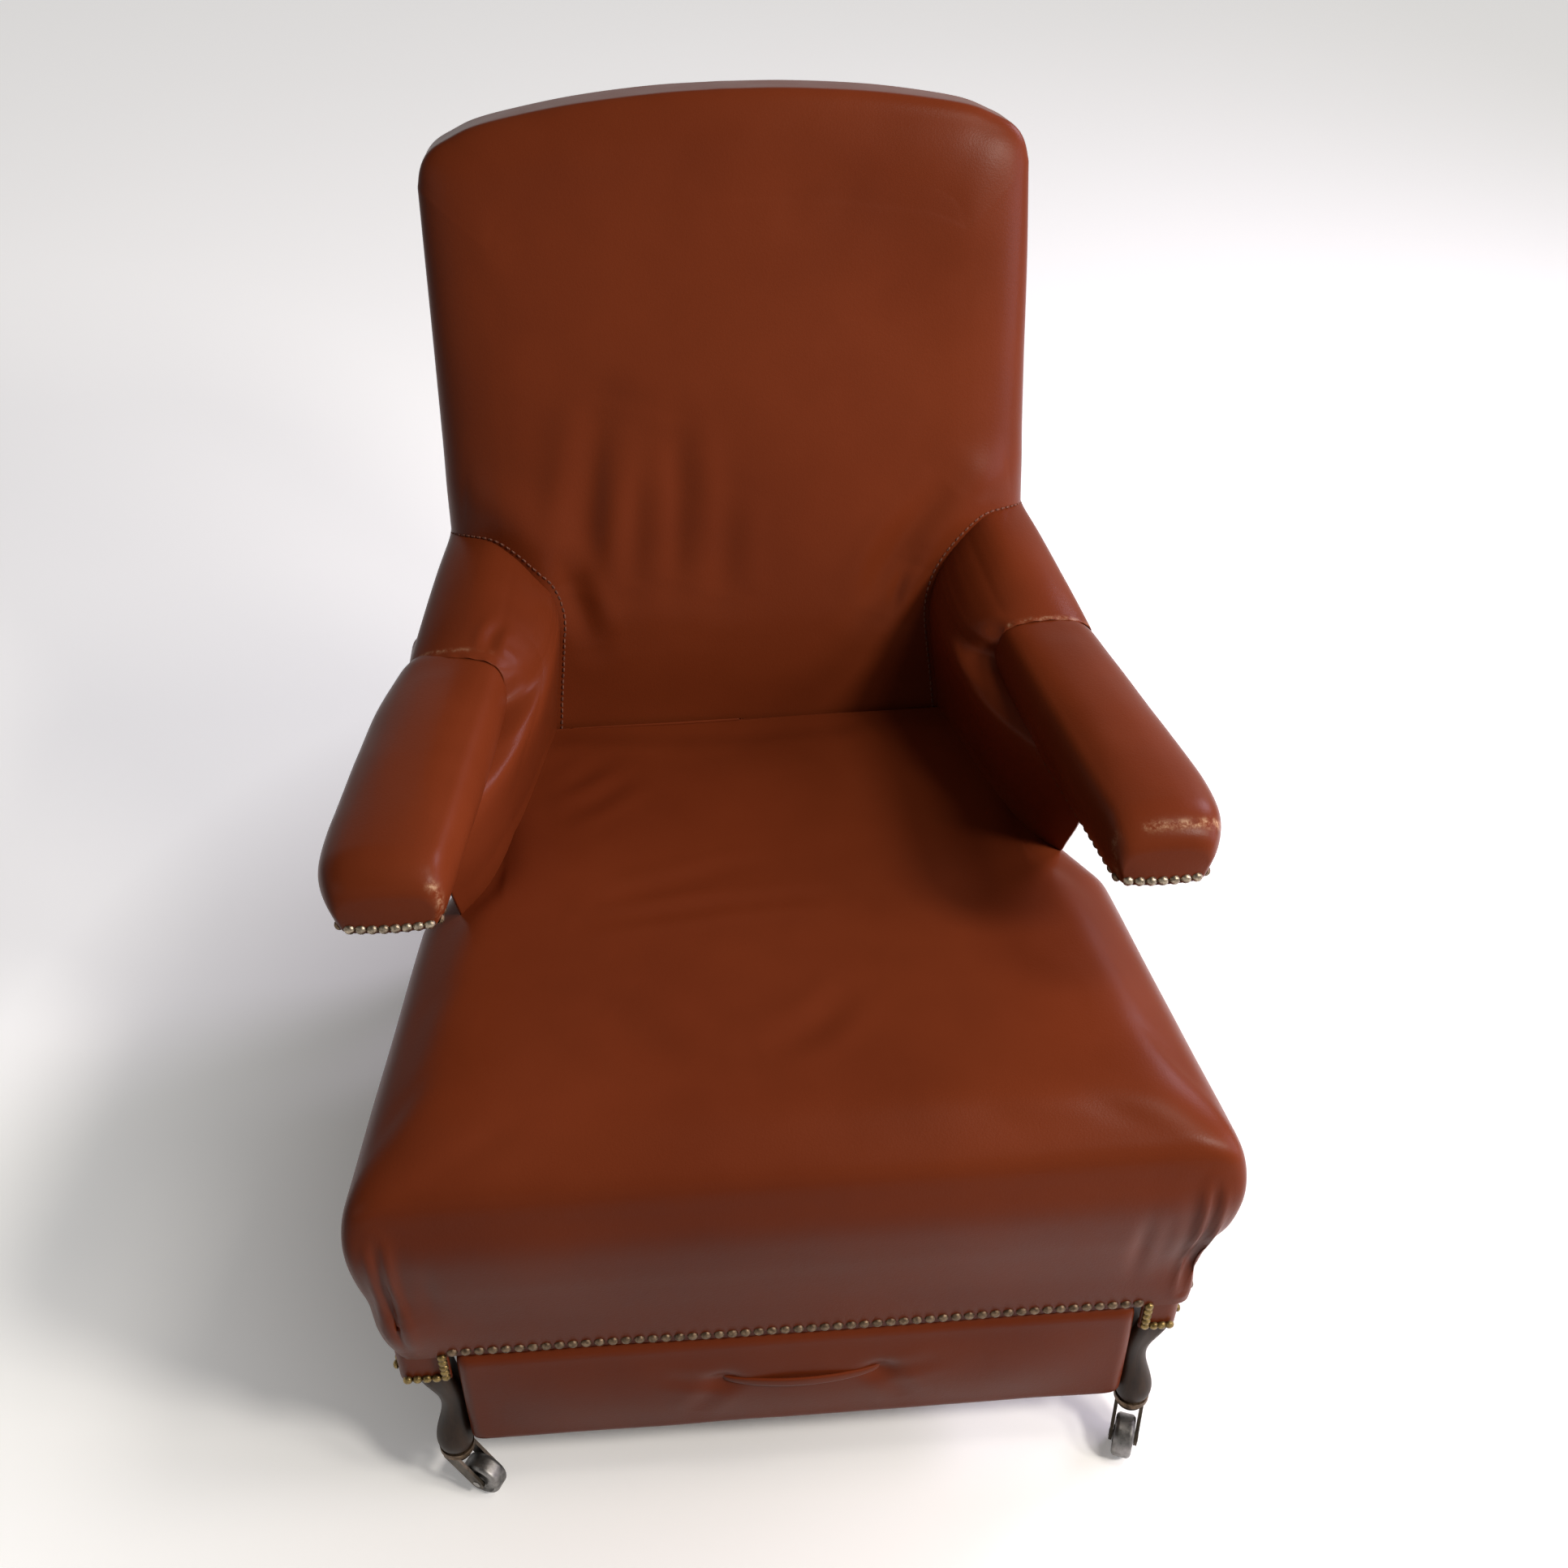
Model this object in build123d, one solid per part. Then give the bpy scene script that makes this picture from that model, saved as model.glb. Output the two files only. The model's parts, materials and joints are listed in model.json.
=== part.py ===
from build123d import *
import math
import os

# Reclining armchair, in millimetres.
# x runs to the viewer's right, depth runs back from the face of the front apron,
# height runs up from the floor. Pieces are shifted to the middle of the depth on export.

# Fits
FIT = 0.05
RUNNING = 0.08
LEATHER = 3.0

# Seat frame
ORIGIN_DEPTH = 386.2
FRAME_HALF_FRONT = 335.0
FRAME_HALF_REAR = 246.0
TAPER_END = 620.0
FRAME_REAR = 690.0
RAIL_TOP = 300.0
RAIL_BOTTOM = 215.0
RAIL_THICK = 28.0
REAR_RAIL_DEPTH = 590.0
CORNER_LEG = 62.0
CORNER_HEIGHT = 45.0
APRON_BOTTOM = 213.0
APRON_REAR = 605.0

# Front cabriole legs, with levels of height, share of the lean out and forward, width, depth and corner
LEG_BLOCK_WIDE = 32.0
LEG_BLOCK_DEEP = 35.0
FOOT_X = 313.0
FOOT_DEPTH = 8.0
FOOT_BOTTOM = 58.0
LEG_LEVELS = [(185.0, 0.0, 0.0, 29.0, 32.0, 6.0), (165.0, 0.3, 0.3, 30.0, 32.0, 10.0),
              (120.0, 1.7, 0.5, 22.0, 22.0, 10.0), (88.0, 1.2, 0.85, 29.0, 29.0, 14.0),
              (70.0, 1.0, 1.0, 33.0, 33.0, 16.0), (FOOT_BOTTOM, 1.0, 1.0, 27.0, 27.0, 13.0)]

# Rear sabre legs
REAR_LEG_WIDE = 34.0
REAR_LEG_DEEP = 48.0
REAR_LEG_DEPTH = 655.0
REAR_FOOT_WIDE = 26.0
REAR_FOOT_DEEP = 28.0
REAR_FOOT_SWEEP = 62.0
DOWEL_RADIUS = 8.0
DOWEL_LONG = 26.0
DOWEL_DEPTH = 648.0

# Casters on the front legs
WHEEL_RADIUS = 20.0
WHEEL_WIDE = 18.0
TREAD_ROUND = 4.0
HUB_RADIUS = 8.0
HUB_PROUD = 0.6
AXLE_RADIUS = 3.5
TRAIL = 25.0
CHEEK_THICK = 3.0
CHEEK_GAP = 0.5
AXLE_EYE = 7.0
WHEEL_RIM = 4.0
WHEEL_DISH = 1.5
FORK_TOP = 51.0
FORK_PLATE = 7.0
STEM_RADIUS = 4.0
STEM_LONG = 34.0
LEFT_CASTER_TURN = -30.0
RIGHT_CASTER_TURN = -110.0
SOCKET_RADIUS = 16.0
SOCKET_GAP = 0.4

# Webbing
STRAP_THICK = 2.5
STRAP_WIDE = 50.0
STRAP_STEP = 90.0
STRAP_TUCK = 4.0
STRAP_CLEAR = 0.5
CROSS_FIRST = 120.0
CROSS_STEP = 100.0
CROSS_COUNT = 5

# Seat cushion: the sides swell up to the roll, which turns in to a crowned top
CUSHION_REAR = 545.0
SEAT_SWELL = 16.0
SEAT_ROLL_BOTTOM = 402.0
SEAT_ROLL_IN = 70.0
SEAT_EDGE_HEIGHT = 446.0
SEAT_CROWN = 5.0
SEAT_CORNER = 22.0
SIDE_STEPS = 4
ROLL_STEPS = 4
CROWN_STEPS = 3
CROWN_PACE = 0.38
SHOULDER_DEPTH = 345.0
SHOULDER_ROUND = 24.0
POCKET_BOTTOM = 395.0
POST_ROOM = 3.0
POCKET_GAP = 6.0
POCKET_REACH = 60.0

# Arm wings between arm, seat and back: half widths and depths of the padded inner face
WING_LOW = [(275.0, 340.0), (229.0, 400.0), (203.0, 496.0), (191.0, 556.0)]
WING_HIGH = [(272.0, 286.0), (238.0, 400.0), (222.0, 470.0), (190.0, 590.0)]
WING_BOTTOM = 425.0
WING_TOP = 566.0
WING_OUTER = 279.5
WING_EDGE = 4.0
WING_TUCK = 14.0
WING_BACK_GAP = 8.0
WING_CLEAR = 0.5

# Linkage: the back turns on the side rails, posts carry the arms, and both keep the arms level
RECLINE_DEPTH = 664.0
RECLINE_HEIGHT = 270.0
LINK = 320.0
POST_DEPTH = 432.0
POST_HEIGHT = 239.0
POST_GAP = 4.9
POST_THICK = 12.0
POST_WIDE = 22.0
POST_EYE = 15.0
PIVOT_RADIUS = 8.0
PIVOT_HEAD = 13.0
PIVOT_HEAD_THICK = 5.0
NUT_THICK = 7.0
WASHER_RADIUS = 17.0
WASHER_HIGH = 3.0
WASHER_THICK = 1.5
PIN_RADIUS = 5.0
PIN_HEAD = 9.0
HEAD_THICK = 2.4
HEAD_GAP = 0.3
COLLAR_GAP = 2.0
FRONT_PIN_INSIDE = 12.0
FRONT_PIN_OUTSIDE = 10.0
OPEN_PIVOT_GAP = 0.5
DISC_RADIUS = 34.0
DISC_THICK = 5.0

# Back frame
STILE_THICK = 24.0
STILE_DEEP = 48.0
STILE_EYE = 26.0
BACK_LEAN = 14.0
KNEE_DEPTH = 638.0
KNEE_HEIGHT = 440.0
STILE_BELOW_CREST = 76.0
KNEE_ROUND = 90.0
CREST_HEIGHT = 1000.0
CREST_ARCH = 32.0
BACK_EDGE_SHARE = 0.3
BACK_ROLL_IN = 44.0
BACK_CROWN = 0.06
CREST_CORNER = 52.0
BACK_FOOT_ROUND = 16.0
BACK_BOTTOM = 312.0
BACK_HALF = 272.0
FRONT_LEAN = 18.0
BACK_FACE_DEPTH = 550.0
BACK_FACE_HEIGHT = 448.0
LOW_FACE_DEPTH = 549.0
OUTSIDE_THICK = 4.0
OUTSIDE_BOTTOM = 332.0
KNEE_CHORD = 25.0
CREST_INSET = 5.0
RAIL_DEEP = 24.0
LUMBAR_HEIGHT = 585.0
LUMBAR_TALL = 60.0
BOTTOM_RAIL_HEIGHT = 362.0
BOTTOM_RAIL_TALL = 52.0
BACK_STRAPS = 5
BACK_STRAP_FIRST = 60.0
BACK_STRAP_STEP = 98.0

# Arms: half widths at the front end and at the hem, heights of the rail
ARM_FRONT = 150.0
HEM_BEHIND_POST = 23.0
ARM_IN_FRONT = 271.0
ARM_OUT_FRONT = 349.0
ARM_IN_HEM = 230.0
ARM_OUT_HEM = 312.0
ARM_RAIL_THICK = 24.0
ARM_RAIL_FRONT_Z = 597.0
ARM_RAIL_HEM_Z = 557.0
ARM_RAIL_END_Z = 566.0
RAIL_SHOULDER_BEHIND_POST = 60.0
RAIL_END_BEHIND_POST = 98.0
ARM_PAD_SIDE = 6.0
ARM_PAD_RISE = 24.0
ARM_PAD_CROWN = 36.0
ARM_PAD_ROUND = 12.0
LUG_THICK = 3.0
LUG_GAP = 0.4
LUG_BEHIND_POST = 80.0
LUG_RADIUS = 13.0
SLOT_HALF = 34.0
SLOT_GAP = 1.5
SLEEVE_ROUND = 22.0
SLEEVE_BACK_IN = 200.0
SLEEVE_BACK_OUT = 279.0
SLEEVE_BACK_TOP = 638.0

# Pull-out footrest
FOOTREST_HALF = 292.0
FOOTREST_BOTTOM = 74.0
FOOTREST_TOP = 211.0
FRONT_BOARD_DEPTH = 12.0
BOARD_THICK = 18.0
FRONT_PAD_PROUD = 6.0
FRONT_PAD_LEVELS = [(0.0, 0.0, 6.0), (0.45, -0.6, 8.0), (0.78, 4.0, 10.0), (1.0, 14.0, 12.0)]
DRAWER_HALF = 230.0
DRAWER_SIDE = 16.0
DRAWER_REAR = 520.0
DRAWER_BOTTOM = 92.0
DRAWER_TOP = 196.0
TOP_BOARD = 10.0
TOP_PAD_HIGH = 13.0
TOP_PAD_LEVELS = [(0.0, 1.0, 12.0), (0.5, 1.0, 12.0), (0.85, 6.0, 16.0), (1.0, 18.0, 22.0)]
CLEAT_WIDE = 12.0
CLEAT_TALL = 15.0
CLEAT_HEIGHT = 165.0
CLEAT_FRONT = 60.0
CLEAT_REAR = 500.0
RUNNER_GAP = 0.4
RUNNER_WALL = 13.0
RUNNER_FRONT = 40.0
RUNNER_REAR = 540.0
RUNNER_INSIDE = 1.0
BATTEN_TALL = 20.0
BATTEN_DEEP = 35.0
BATTEN_DEPTHS = (60.0, 500.0)
PULL_LEFT = -67.0
PULL_RIGHT = 72.0
PULL_HEIGHT = 154.0
PULL_WIDE = 16.0
PULL_THICK = 3.0
PULL_PROUD = 13.0

# Places worked out from the sizes above
TAB_BOTTOM = LEG_LEVELS[0][0]
TAPER = (FRAME_HALF_FRONT - FRAME_HALF_REAR) / (TAPER_END - LEATHER)
POST_SIDE = FRAME_HALF_FRONT - TAPER * (POST_DEPTH - LEATHER)
POST_INNER = POST_SIDE + LEATHER + POST_GAP
POST_OUTER = POST_INNER + POST_THICK
POCKET_HALF = POST_INNER - POST_ROOM
ARM_HEM = POST_DEPTH + HEM_BEHIND_POST
ARM_RAIL_SHOULDER = POST_DEPTH + RAIL_SHOULDER_BEHIND_POST
ARM_RAIL_END = POST_DEPTH + RAIL_END_BEHIND_POST
LUG_FIX_DEPTH = POST_DEPTH + LUG_BEHIND_POST
STILE_TOP = CREST_HEIGHT - STILE_BELOW_CREST
SHOULDER_HEIGHT = CREST_HEIGHT - CREST_ARCH
ARM_PIVOT_HEIGHT = RECLINE_HEIGHT + LINK
POST_TOP = POST_HEIGHT + LINK
STILE_INNER = FRAME_HALF_REAR + DISC_THICK
STILE_OUTER = STILE_INNER + STILE_THICK
LUG_INNER = STILE_OUTER + LUG_GAP
LUG_OUTER = LUG_INNER + LUG_THICK
CUSHION_BASE = RAIL_TOP + 2 * STRAP_THICK
LEG_INNER = FRAME_HALF_FRONT - LEG_BLOCK_WIDE
LEG_BACK = LEATHER + LEG_BLOCK_DEEP
LEAN_RISE = math.tan(math.radians(BACK_LEAN))
FRONT_RISE = math.tan(math.radians(FRONT_LEAN))
HALF_STILE_DEPTH = STILE_DEEP / 2 / math.cos(math.radians(BACK_LEAN))


# Small shape helpers
def block(x0, x1, y0, y1, z0, z1):
    """A box between two corners."""
    size = Box(x1 - x0, y1 - y0, z1 - z0, align=(Align.MIN, Align.MIN, Align.MIN))
    return Pos(x0, y0, z0) * size


def slab(points, z0, z1):
    """A plan outline carried up from z0 to z1."""
    return extrude(Pos(0, 0, z0) * Polygon(*points, align=None), z1 - z0, dir=(0, 0, 1))


def plate(outline, x0, x1):
    """A side outline, in depth and height, carried across from x0 to x1."""
    return extrude(Plane.YZ.offset(x0) * outline, x1 - x0, dir=(1, 0, 0))


def cross_pin(radius, depth, height, x0, x1):
    """A round bar along x."""
    return plate(Pos(depth, height) * Circle(radius), x0, x1)


def link_outline(start, end, radius):
    """A bar with round ends, from one point to the other."""
    length = math.dist(start, end)
    angle = math.degrees(math.atan2(end[1] - start[1], end[0] - start[0]))
    middle = ((start[0] + end[0]) / 2, (start[1] + end[1]) / 2)
    return Pos(*middle) * Rot(0, 0, angle) * SlotCenterToCenter(length, 2 * radius)


def upright(depth, x0, x1, z0, z1, corner=0.0):
    """A face across the chair at one depth, with corners rounded if asked."""
    plane = Plane(origin=((x0 + x1) / 2, depth, (z0 + z1) / 2), x_dir=(1, 0, 0), z_dir=(0, -1, 0))
    if corner:
        return plane * RectangleRounded(x1 - x0, z1 - z0, corner)
    return plane * Rectangle(x1 - x0, z1 - z0)


def other_side(piece):
    """The same piece on the other side of the chair."""
    return mirror(piece, about=Plane.YZ)


def group(pieces):
    """Separate solids that share one node."""
    return Compound(children=list(pieces))


def frame_half(depth):
    """Half the width of the seat frame over its side rails."""
    return max(FRAME_HALF_FRONT - TAPER * max(depth - LEATHER, 0.0), FRAME_HALF_REAR)


def stile_depth(height):
    """Depth of the back stiles' centre line above the knee."""
    return KNEE_DEPTH + LEAN_RISE * (height - KNEE_HEIGHT)


def pad_rear_depth(height):
    return stile_depth(height) - HALF_STILE_DEPTH - STRAP_THICK - STRAP_CLEAR


def pad_front_depth(height):
    return BACK_FACE_DEPTH + FRONT_RISE * (height - BACK_FACE_HEIGHT)


# Seat frame
def front_rail():
    return block(-LEG_INNER, LEG_INNER, LEATHER, LEATHER + RAIL_THICK, RAIL_BOTTOM, RAIL_TOP)


def rear_rail():
    front_half = frame_half(REAR_RAIL_DEPTH) - RAIL_THICK
    rear = REAR_RAIL_DEPTH + RAIL_THICK
    rear_half = frame_half(rear) - RAIL_THICK
    outline = [(-front_half, REAR_RAIL_DEPTH), (front_half, REAR_RAIL_DEPTH),
               (rear_half, rear), (-rear_half, rear)]
    return slab(outline, RAIL_BOTTOM, RAIL_TOP)


def side_rail():
    front = frame_half(LEG_BACK)
    outline = [(front - RAIL_THICK, LEG_BACK), (front, LEG_BACK),
               (FRAME_HALF_REAR, TAPER_END), (FRAME_HALF_REAR, FRAME_REAR),
               (FRAME_HALF_REAR - RAIL_THICK, FRAME_REAR), (FRAME_HALF_REAR - RAIL_THICK, TAPER_END)]
    rail = slab(outline, RAIL_BOTTOM, RAIL_TOP)
    rail -= cross_pin(PIVOT_RADIUS + FIT, RECLINE_DEPTH, RECLINE_HEIGHT, 0, POST_OUTER)
    rail -= cross_pin(PIN_RADIUS + FIT, POST_DEPTH, POST_HEIGHT, 0, POST_OUTER)
    hole = Cylinder(DOWEL_RADIUS + FIT, DOWEL_LONG + 1, align=(Align.CENTER, Align.CENTER, Align.MIN))
    return rail - Pos(FRAME_HALF_REAR - RAIL_THICK / 2, DOWEL_DEPTH, RAIL_BOTTOM) * hole


def corner_blocks():
    """Glued triangles in the four corners of the seat frame."""
    low = RAIL_TOP - CORNER_HEIGHT
    front = LEATHER + RAIL_THICK
    half = frame_half(LEG_BACK) - RAIL_THICK
    front_block = slab([(half, LEG_BACK), (LEG_INNER, LEG_BACK), (LEG_INNER, front),
                        (LEG_INNER - CORNER_LEG, front),
                        (frame_half(LEG_BACK + CORNER_LEG) - RAIL_THICK, LEG_BACK + CORNER_LEG)],
                       low, RAIL_TOP)
    rear = REAR_RAIL_DEPTH
    rear_half = frame_half(rear) - RAIL_THICK
    rear_block = slab([(rear_half, rear), (rear_half - CORNER_LEG, rear),
                       (frame_half(rear - CORNER_LEG) - RAIL_THICK, rear - CORNER_LEG)], low, RAIL_TOP)
    return group([front_block, other_side(front_block), rear_block, other_side(rear_block)])


def front_leg():
    """Cabriole leg: a square block, a knee, a thin ankle and a foot that turns out."""
    middle = FRAME_HALF_FRONT - LEG_BLOCK_WIDE / 2
    centre = LEATHER + LEG_BLOCK_DEEP / 2
    top = block(LEG_INNER, FRAME_HALF_FRONT, LEATHER, LEG_BACK, TAB_BOTTOM, RAIL_TOP)
    outer_cut = [(FRAME_HALF_FRONT, LEATHER), (FRAME_HALF_FRONT + 1, LEG_BACK + 1),
                 (frame_half(LEG_BACK + 1), LEG_BACK + 1)]
    top -= slab(outer_cut, TAB_BOTTOM, RAIL_TOP)
    shape = FOOT_X - middle
    forward = FOOT_DEPTH - centre
    faces = [Pos(middle + out * shape, centre + ahead * forward, z) * RectangleRounded(wide, deep, corner)
             for z, out, ahead, wide, deep, corner in LEG_LEVELS]
    lower = loft(faces)
    bore = Cylinder(STEM_RADIUS + RUNNING, STEM_LONG + 2, align=(Align.CENTER, Align.CENTER, Align.MIN))
    return top + lower - Pos(FOOT_X, FOOT_DEPTH, FOOT_BOTTOM - 1) * bore


def rear_leg():
    """Sabre leg: tapers down and sweeps back, and is dowelled into the side rail."""
    middle = FRAME_HALF_REAR - REAR_LEG_WIDE / 2
    faces = []
    for step in (0.0, 0.35, 0.7, 1.0):
        wide = REAR_LEG_WIDE + (REAR_FOOT_WIDE - REAR_LEG_WIDE) * step
        deep = REAR_LEG_DEEP + (REAR_FOOT_DEEP - REAR_LEG_DEEP) * step
        depth = REAR_LEG_DEPTH + REAR_FOOT_SWEEP * step ** 2
        faces.append(Pos(middle, depth, RAIL_BOTTOM * (1 - step)) * RectangleRounded(wide, deep, 5))
    dowel = Cylinder(DOWEL_RADIUS, DOWEL_LONG, align=(Align.CENTER, Align.CENTER, Align.MIN))
    return loft(faces) + Pos(FRAME_HALF_REAR - RAIL_THICK / 2, DOWEL_DEPTH, RAIL_BOTTOM) * dowel


def seat_webbing():
    """Straps from front to back, with cross straps lying on them."""
    straps = []
    for place in range(-2, 3):
        x = place * STRAP_STEP
        straps.append(block(x - STRAP_WIDE / 2, x + STRAP_WIDE / 2, LEATHER + STRAP_TUCK,
                            REAR_RAIL_DEPTH + RAIL_THICK - STRAP_TUCK, RAIL_TOP, RAIL_TOP + STRAP_THICK))
    for row in range(CROSS_COUNT):
        near = CROSS_FIRST + row * CROSS_STEP
        far = near + STRAP_WIDE
        near_half = frame_half(near) - STRAP_TUCK
        far_half = frame_half(far) - STRAP_TUCK
        outline = [(-near_half, near), (near_half, near), (far_half, far), (-far_half, far)]
        straps.append(slab(outline, RAIL_TOP + STRAP_THICK, CUSHION_BASE))
    return group(straps)


def front_apron():
    """Leather over the front rail, with a tab down over the top of each leg."""
    half = FRAME_HALF_FRONT + LEATHER
    band = block(-half, half, 0, LEATHER, APRON_BOTTOM, RAIL_TOP)
    tab = block(LEG_INNER, half, 0, LEATHER, TAB_BOTTOM, APRON_BOTTOM)
    return band + tab + other_side(tab)


def side_apron():
    """Leather over a side rail, with the side of the leg's tab at its front."""
    def band(near, far, low, high):
        outline = [(frame_half(near), near), (frame_half(near) + LEATHER, near),
                   (frame_half(far) + LEATHER, far), (frame_half(far), far)]
        return slab(outline, low, high)
    apron = band(LEATHER, APRON_REAR, APRON_BOTTOM, RAIL_TOP)
    apron += band(LEATHER, LEG_BACK, TAB_BOTTOM, APRON_BOTTOM)
    return apron - cross_pin(PIN_HEAD + COLLAR_GAP, POST_DEPTH, POST_HEIGHT, 0, POST_OUTER)


# Seat cushion
def seat_outline(swell, corner):
    """Tapered plan of the cushion, swollen beyond the apron or drawn in from it."""
    front_half = FRAME_HALF_FRONT + LEATHER + swell
    rear = CUSHION_REAR + min(swell, 0.0)
    rear_half = frame_half(CUSHION_REAR) + LEATHER + swell
    outline = Polygon((-front_half, -swell), (front_half, -swell), (rear_half, rear), (-rear_half, rear),
                      align=None)
    return fillet(outline.vertices(), corner)


def wing_curve(points):
    """The padded inner face of a wing, in plan."""
    return Spline(*points, tangents=[(-0.75, 0.66), (-0.2, 0.98)])


def seat_pocket():
    """Room beside the cushion for the post, and above that for the wing."""
    far = CUSHION_REAR + POCKET_REACH
    wide = FRAME_HALF_FRONT + POCKET_REACH
    side = frame_half(SHOULDER_DEPTH) + LEATHER + SEAT_SWELL
    start = side - SHOULDER_ROUND
    turn = SHOULDER_ROUND * math.sqrt(0.5)
    ahead = SHOULDER_DEPTH - SHOULDER_ROUND
    shoulder = ThreePointArc((start, SHOULDER_DEPTH), (start + turn, ahead + turn), (side, ahead))
    walls = Polyline((side, ahead), (wide, ahead), (wide, far), (POCKET_HALF, far),
                     (POCKET_HALF, SHOULDER_DEPTH), (start, SHOULDER_DEPTH))
    lower = extrude(Pos(0, 0, RAIL_TOP) * make_face([shoulder, walls]), SEAT_EDGE_HEIGHT, dir=(0, 0, 1))
    points = [(x - POCKET_GAP, y - POCKET_GAP) for x, y in WING_LOW]
    front, back = points[0], points[-1]
    ahead = front[1] - WING_TUCK
    rim = wing_curve(points)
    walls = Polyline(back, (back[0], far), (wide, far), (wide, ahead), (front[0], ahead), front)
    upper = extrude(Pos(0, 0, POCKET_BOTTOM) * make_face([rim, walls]), SEAT_EDGE_HEIGHT, dir=(0, 0, 1))
    return lower + upper


def cushion_levels():
    """Height and swell of the cushion's levels: bulging sides, a quarter roll and a low crown."""
    levels = []
    for step in range(SIDE_STEPS):
        run = step / SIDE_STEPS
        z = CUSHION_BASE + (SEAT_ROLL_BOTTOM - CUSHION_BASE) * run
        levels.append((z, SEAT_SWELL * math.sin(math.pi / 2 * run)))
    for step in range(ROLL_STEPS + 1):
        turn = math.pi / 2 * step / ROLL_STEPS
        z = SEAT_ROLL_BOTTOM + (SEAT_EDGE_HEIGHT - SEAT_ROLL_BOTTOM) * math.sin(turn)
        levels.append((z, SEAT_SWELL - SEAT_ROLL_IN * (1 - math.cos(turn))))
    for step in range(1, CROWN_STEPS + 1):
        run = step / CROWN_STEPS
        z = SEAT_EDGE_HEIGHT + SEAT_CROWN * math.sin(math.pi / 2 * run)
        levels.append((z, SEAT_SWELL - SEAT_ROLL_IN * (1 + CROWN_PACE * step)))
    return levels


def seat_cushion():
    faces = []
    for z, swell in cushion_levels():
        faces.append(Pos(0, 0, z) * seat_outline(swell, SEAT_CORNER + (SEAT_SWELL - swell) / 4))
    pocket = seat_pocket()
    return loft(faces) - pocket - other_side(pocket)


# Back
def stile():
    """Back upright: an eye on the recline pivot, a knee, then a straight lean."""
    eye = Pos(RECLINE_DEPTH, RECLINE_HEIGHT) * Circle(STILE_EYE)
    top = stile_depth(STILE_TOP)
    outline = Polygon((RECLINE_DEPTH - STILE_EYE, RECLINE_HEIGHT),
                      (RECLINE_DEPTH + STILE_EYE, RECLINE_HEIGHT),
                      (KNEE_DEPTH + HALF_STILE_DEPTH, KNEE_HEIGHT), (top + HALF_STILE_DEPTH, STILE_TOP),
                      (top - HALF_STILE_DEPTH, STILE_TOP), (KNEE_DEPTH - HALF_STILE_DEPTH, KNEE_HEIGHT),
                      align=None)
    knees = [v for v in outline.vertices() if abs(v.Y - KNEE_HEIGHT) < 1]
    upright_bar = plate(fillet(knees, KNEE_ROUND) + eye, STILE_INNER, STILE_OUTER)
    upright_bar -= cross_pin(PIVOT_RADIUS + RUNNING, RECLINE_DEPTH, RECLINE_HEIGHT, 0, LUG_OUTER)
    return upright_bar - cross_pin(PIN_RADIUS + FIT, RECLINE_DEPTH, ARM_PIVOT_HEIGHT, 0, LUG_OUTER)


def back_plane(share):
    """A plane between the rear of the back pad, at 0, and its front face, at 1."""
    def depth(height):
        rear = pad_rear_depth(height)
        return rear + share * (pad_front_depth(height) - rear)
    lean = math.atan2(depth(CREST_HEIGHT) - depth(BACK_BOTTOM), CREST_HEIGHT - BACK_BOTTOM)
    plane = Plane(origin=(0, depth(BACK_BOTTOM), BACK_BOTTOM), x_dir=(1, 0, 0),
                  z_dir=(0, -math.cos(lean), math.sin(lean)))
    return plane, 1 / math.cos(lean)


def back_outline(stretch, inset, bottom=BACK_BOTTOM):
    """Front outline of the back: straight sides, a shallow arched crest and round corners."""
    half = BACK_HALF - inset
    low = (bottom - BACK_BOTTOM) * stretch + max(inset, 0.0)
    side = (SHOULDER_HEIGHT - BACK_BOTTOM) * stretch - inset
    crest = (CREST_HEIGHT - BACK_BOTTOM) * stretch - inset
    edges = [Line((-half, low), (half, low)), Line((half, low), (half, side)),
             ThreePointArc((half, side), (0, crest), (-half, side)), Line((-half, side), (-half, low))]
    face = make_face(edges)
    corners = face.vertices().group_by(Axis.Y)
    face = fillet(corners[-1], CREST_CORNER)
    return fillet(face.vertices().group_by(Axis.Y)[0], BACK_FOOT_ROUND)


def back_cushion():
    """Pad that thins towards the crest, rolled in at its edges and crowned in front."""
    levels = [(0.0, 2.0)]
    for step in range(ROLL_STEPS + 1):
        turn = math.pi / 2 * step / ROLL_STEPS
        levels.append((BACK_EDGE_SHARE + (1 - BACK_EDGE_SHARE) * math.sin(turn),
                       BACK_ROLL_IN * (1 - math.cos(turn)) - 1))
    for step in range(1, CROWN_STEPS + 1):
        run = step / CROWN_STEPS
        levels.append((1 + BACK_CROWN * math.sin(math.pi / 2 * run), BACK_ROLL_IN * (1 + CROWN_PACE * step)))
    faces = []
    for share, inset in levels:
        plane, stretch = back_plane(share)
        faces.append(plane * back_outline(stretch, inset))
    low_front = block(-2 * BACK_HALF, 2 * BACK_HALF, 0, LOW_FACE_DEPTH, 0, BACK_FACE_HEIGHT + 30)
    return loft(faces) - low_front


def back_frame_plane():
    """The middle plane of the back frame, its origin at the knee."""
    lean = math.radians(BACK_LEAN)
    return Plane(origin=(0, KNEE_DEPTH, KNEE_HEIGHT), x_dir=(1, 0, 0),
                 z_dir=(0, -math.cos(lean), math.sin(lean)))


def frame_outline(inset, bottom):
    """The back's outline in the frame plane, from a height upwards."""
    stretch = 1 / math.cos(math.radians(BACK_LEAN))
    shift = (BACK_BOTTOM - KNEE_HEIGHT) * stretch
    return Pos(0, shift) * back_outline(stretch, inset, bottom)


def crest_rail():
    """Arched top rail that caps both stiles."""
    rail = extrude(back_frame_plane() * frame_outline(CREST_INSET, BACK_BOTTOM), STILE_DEEP / 2, both=True)
    return rail - block(-2 * BACK_HALF, 2 * BACK_HALF, 0, 2 * FRAME_REAR, 0, STILE_TOP)


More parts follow.
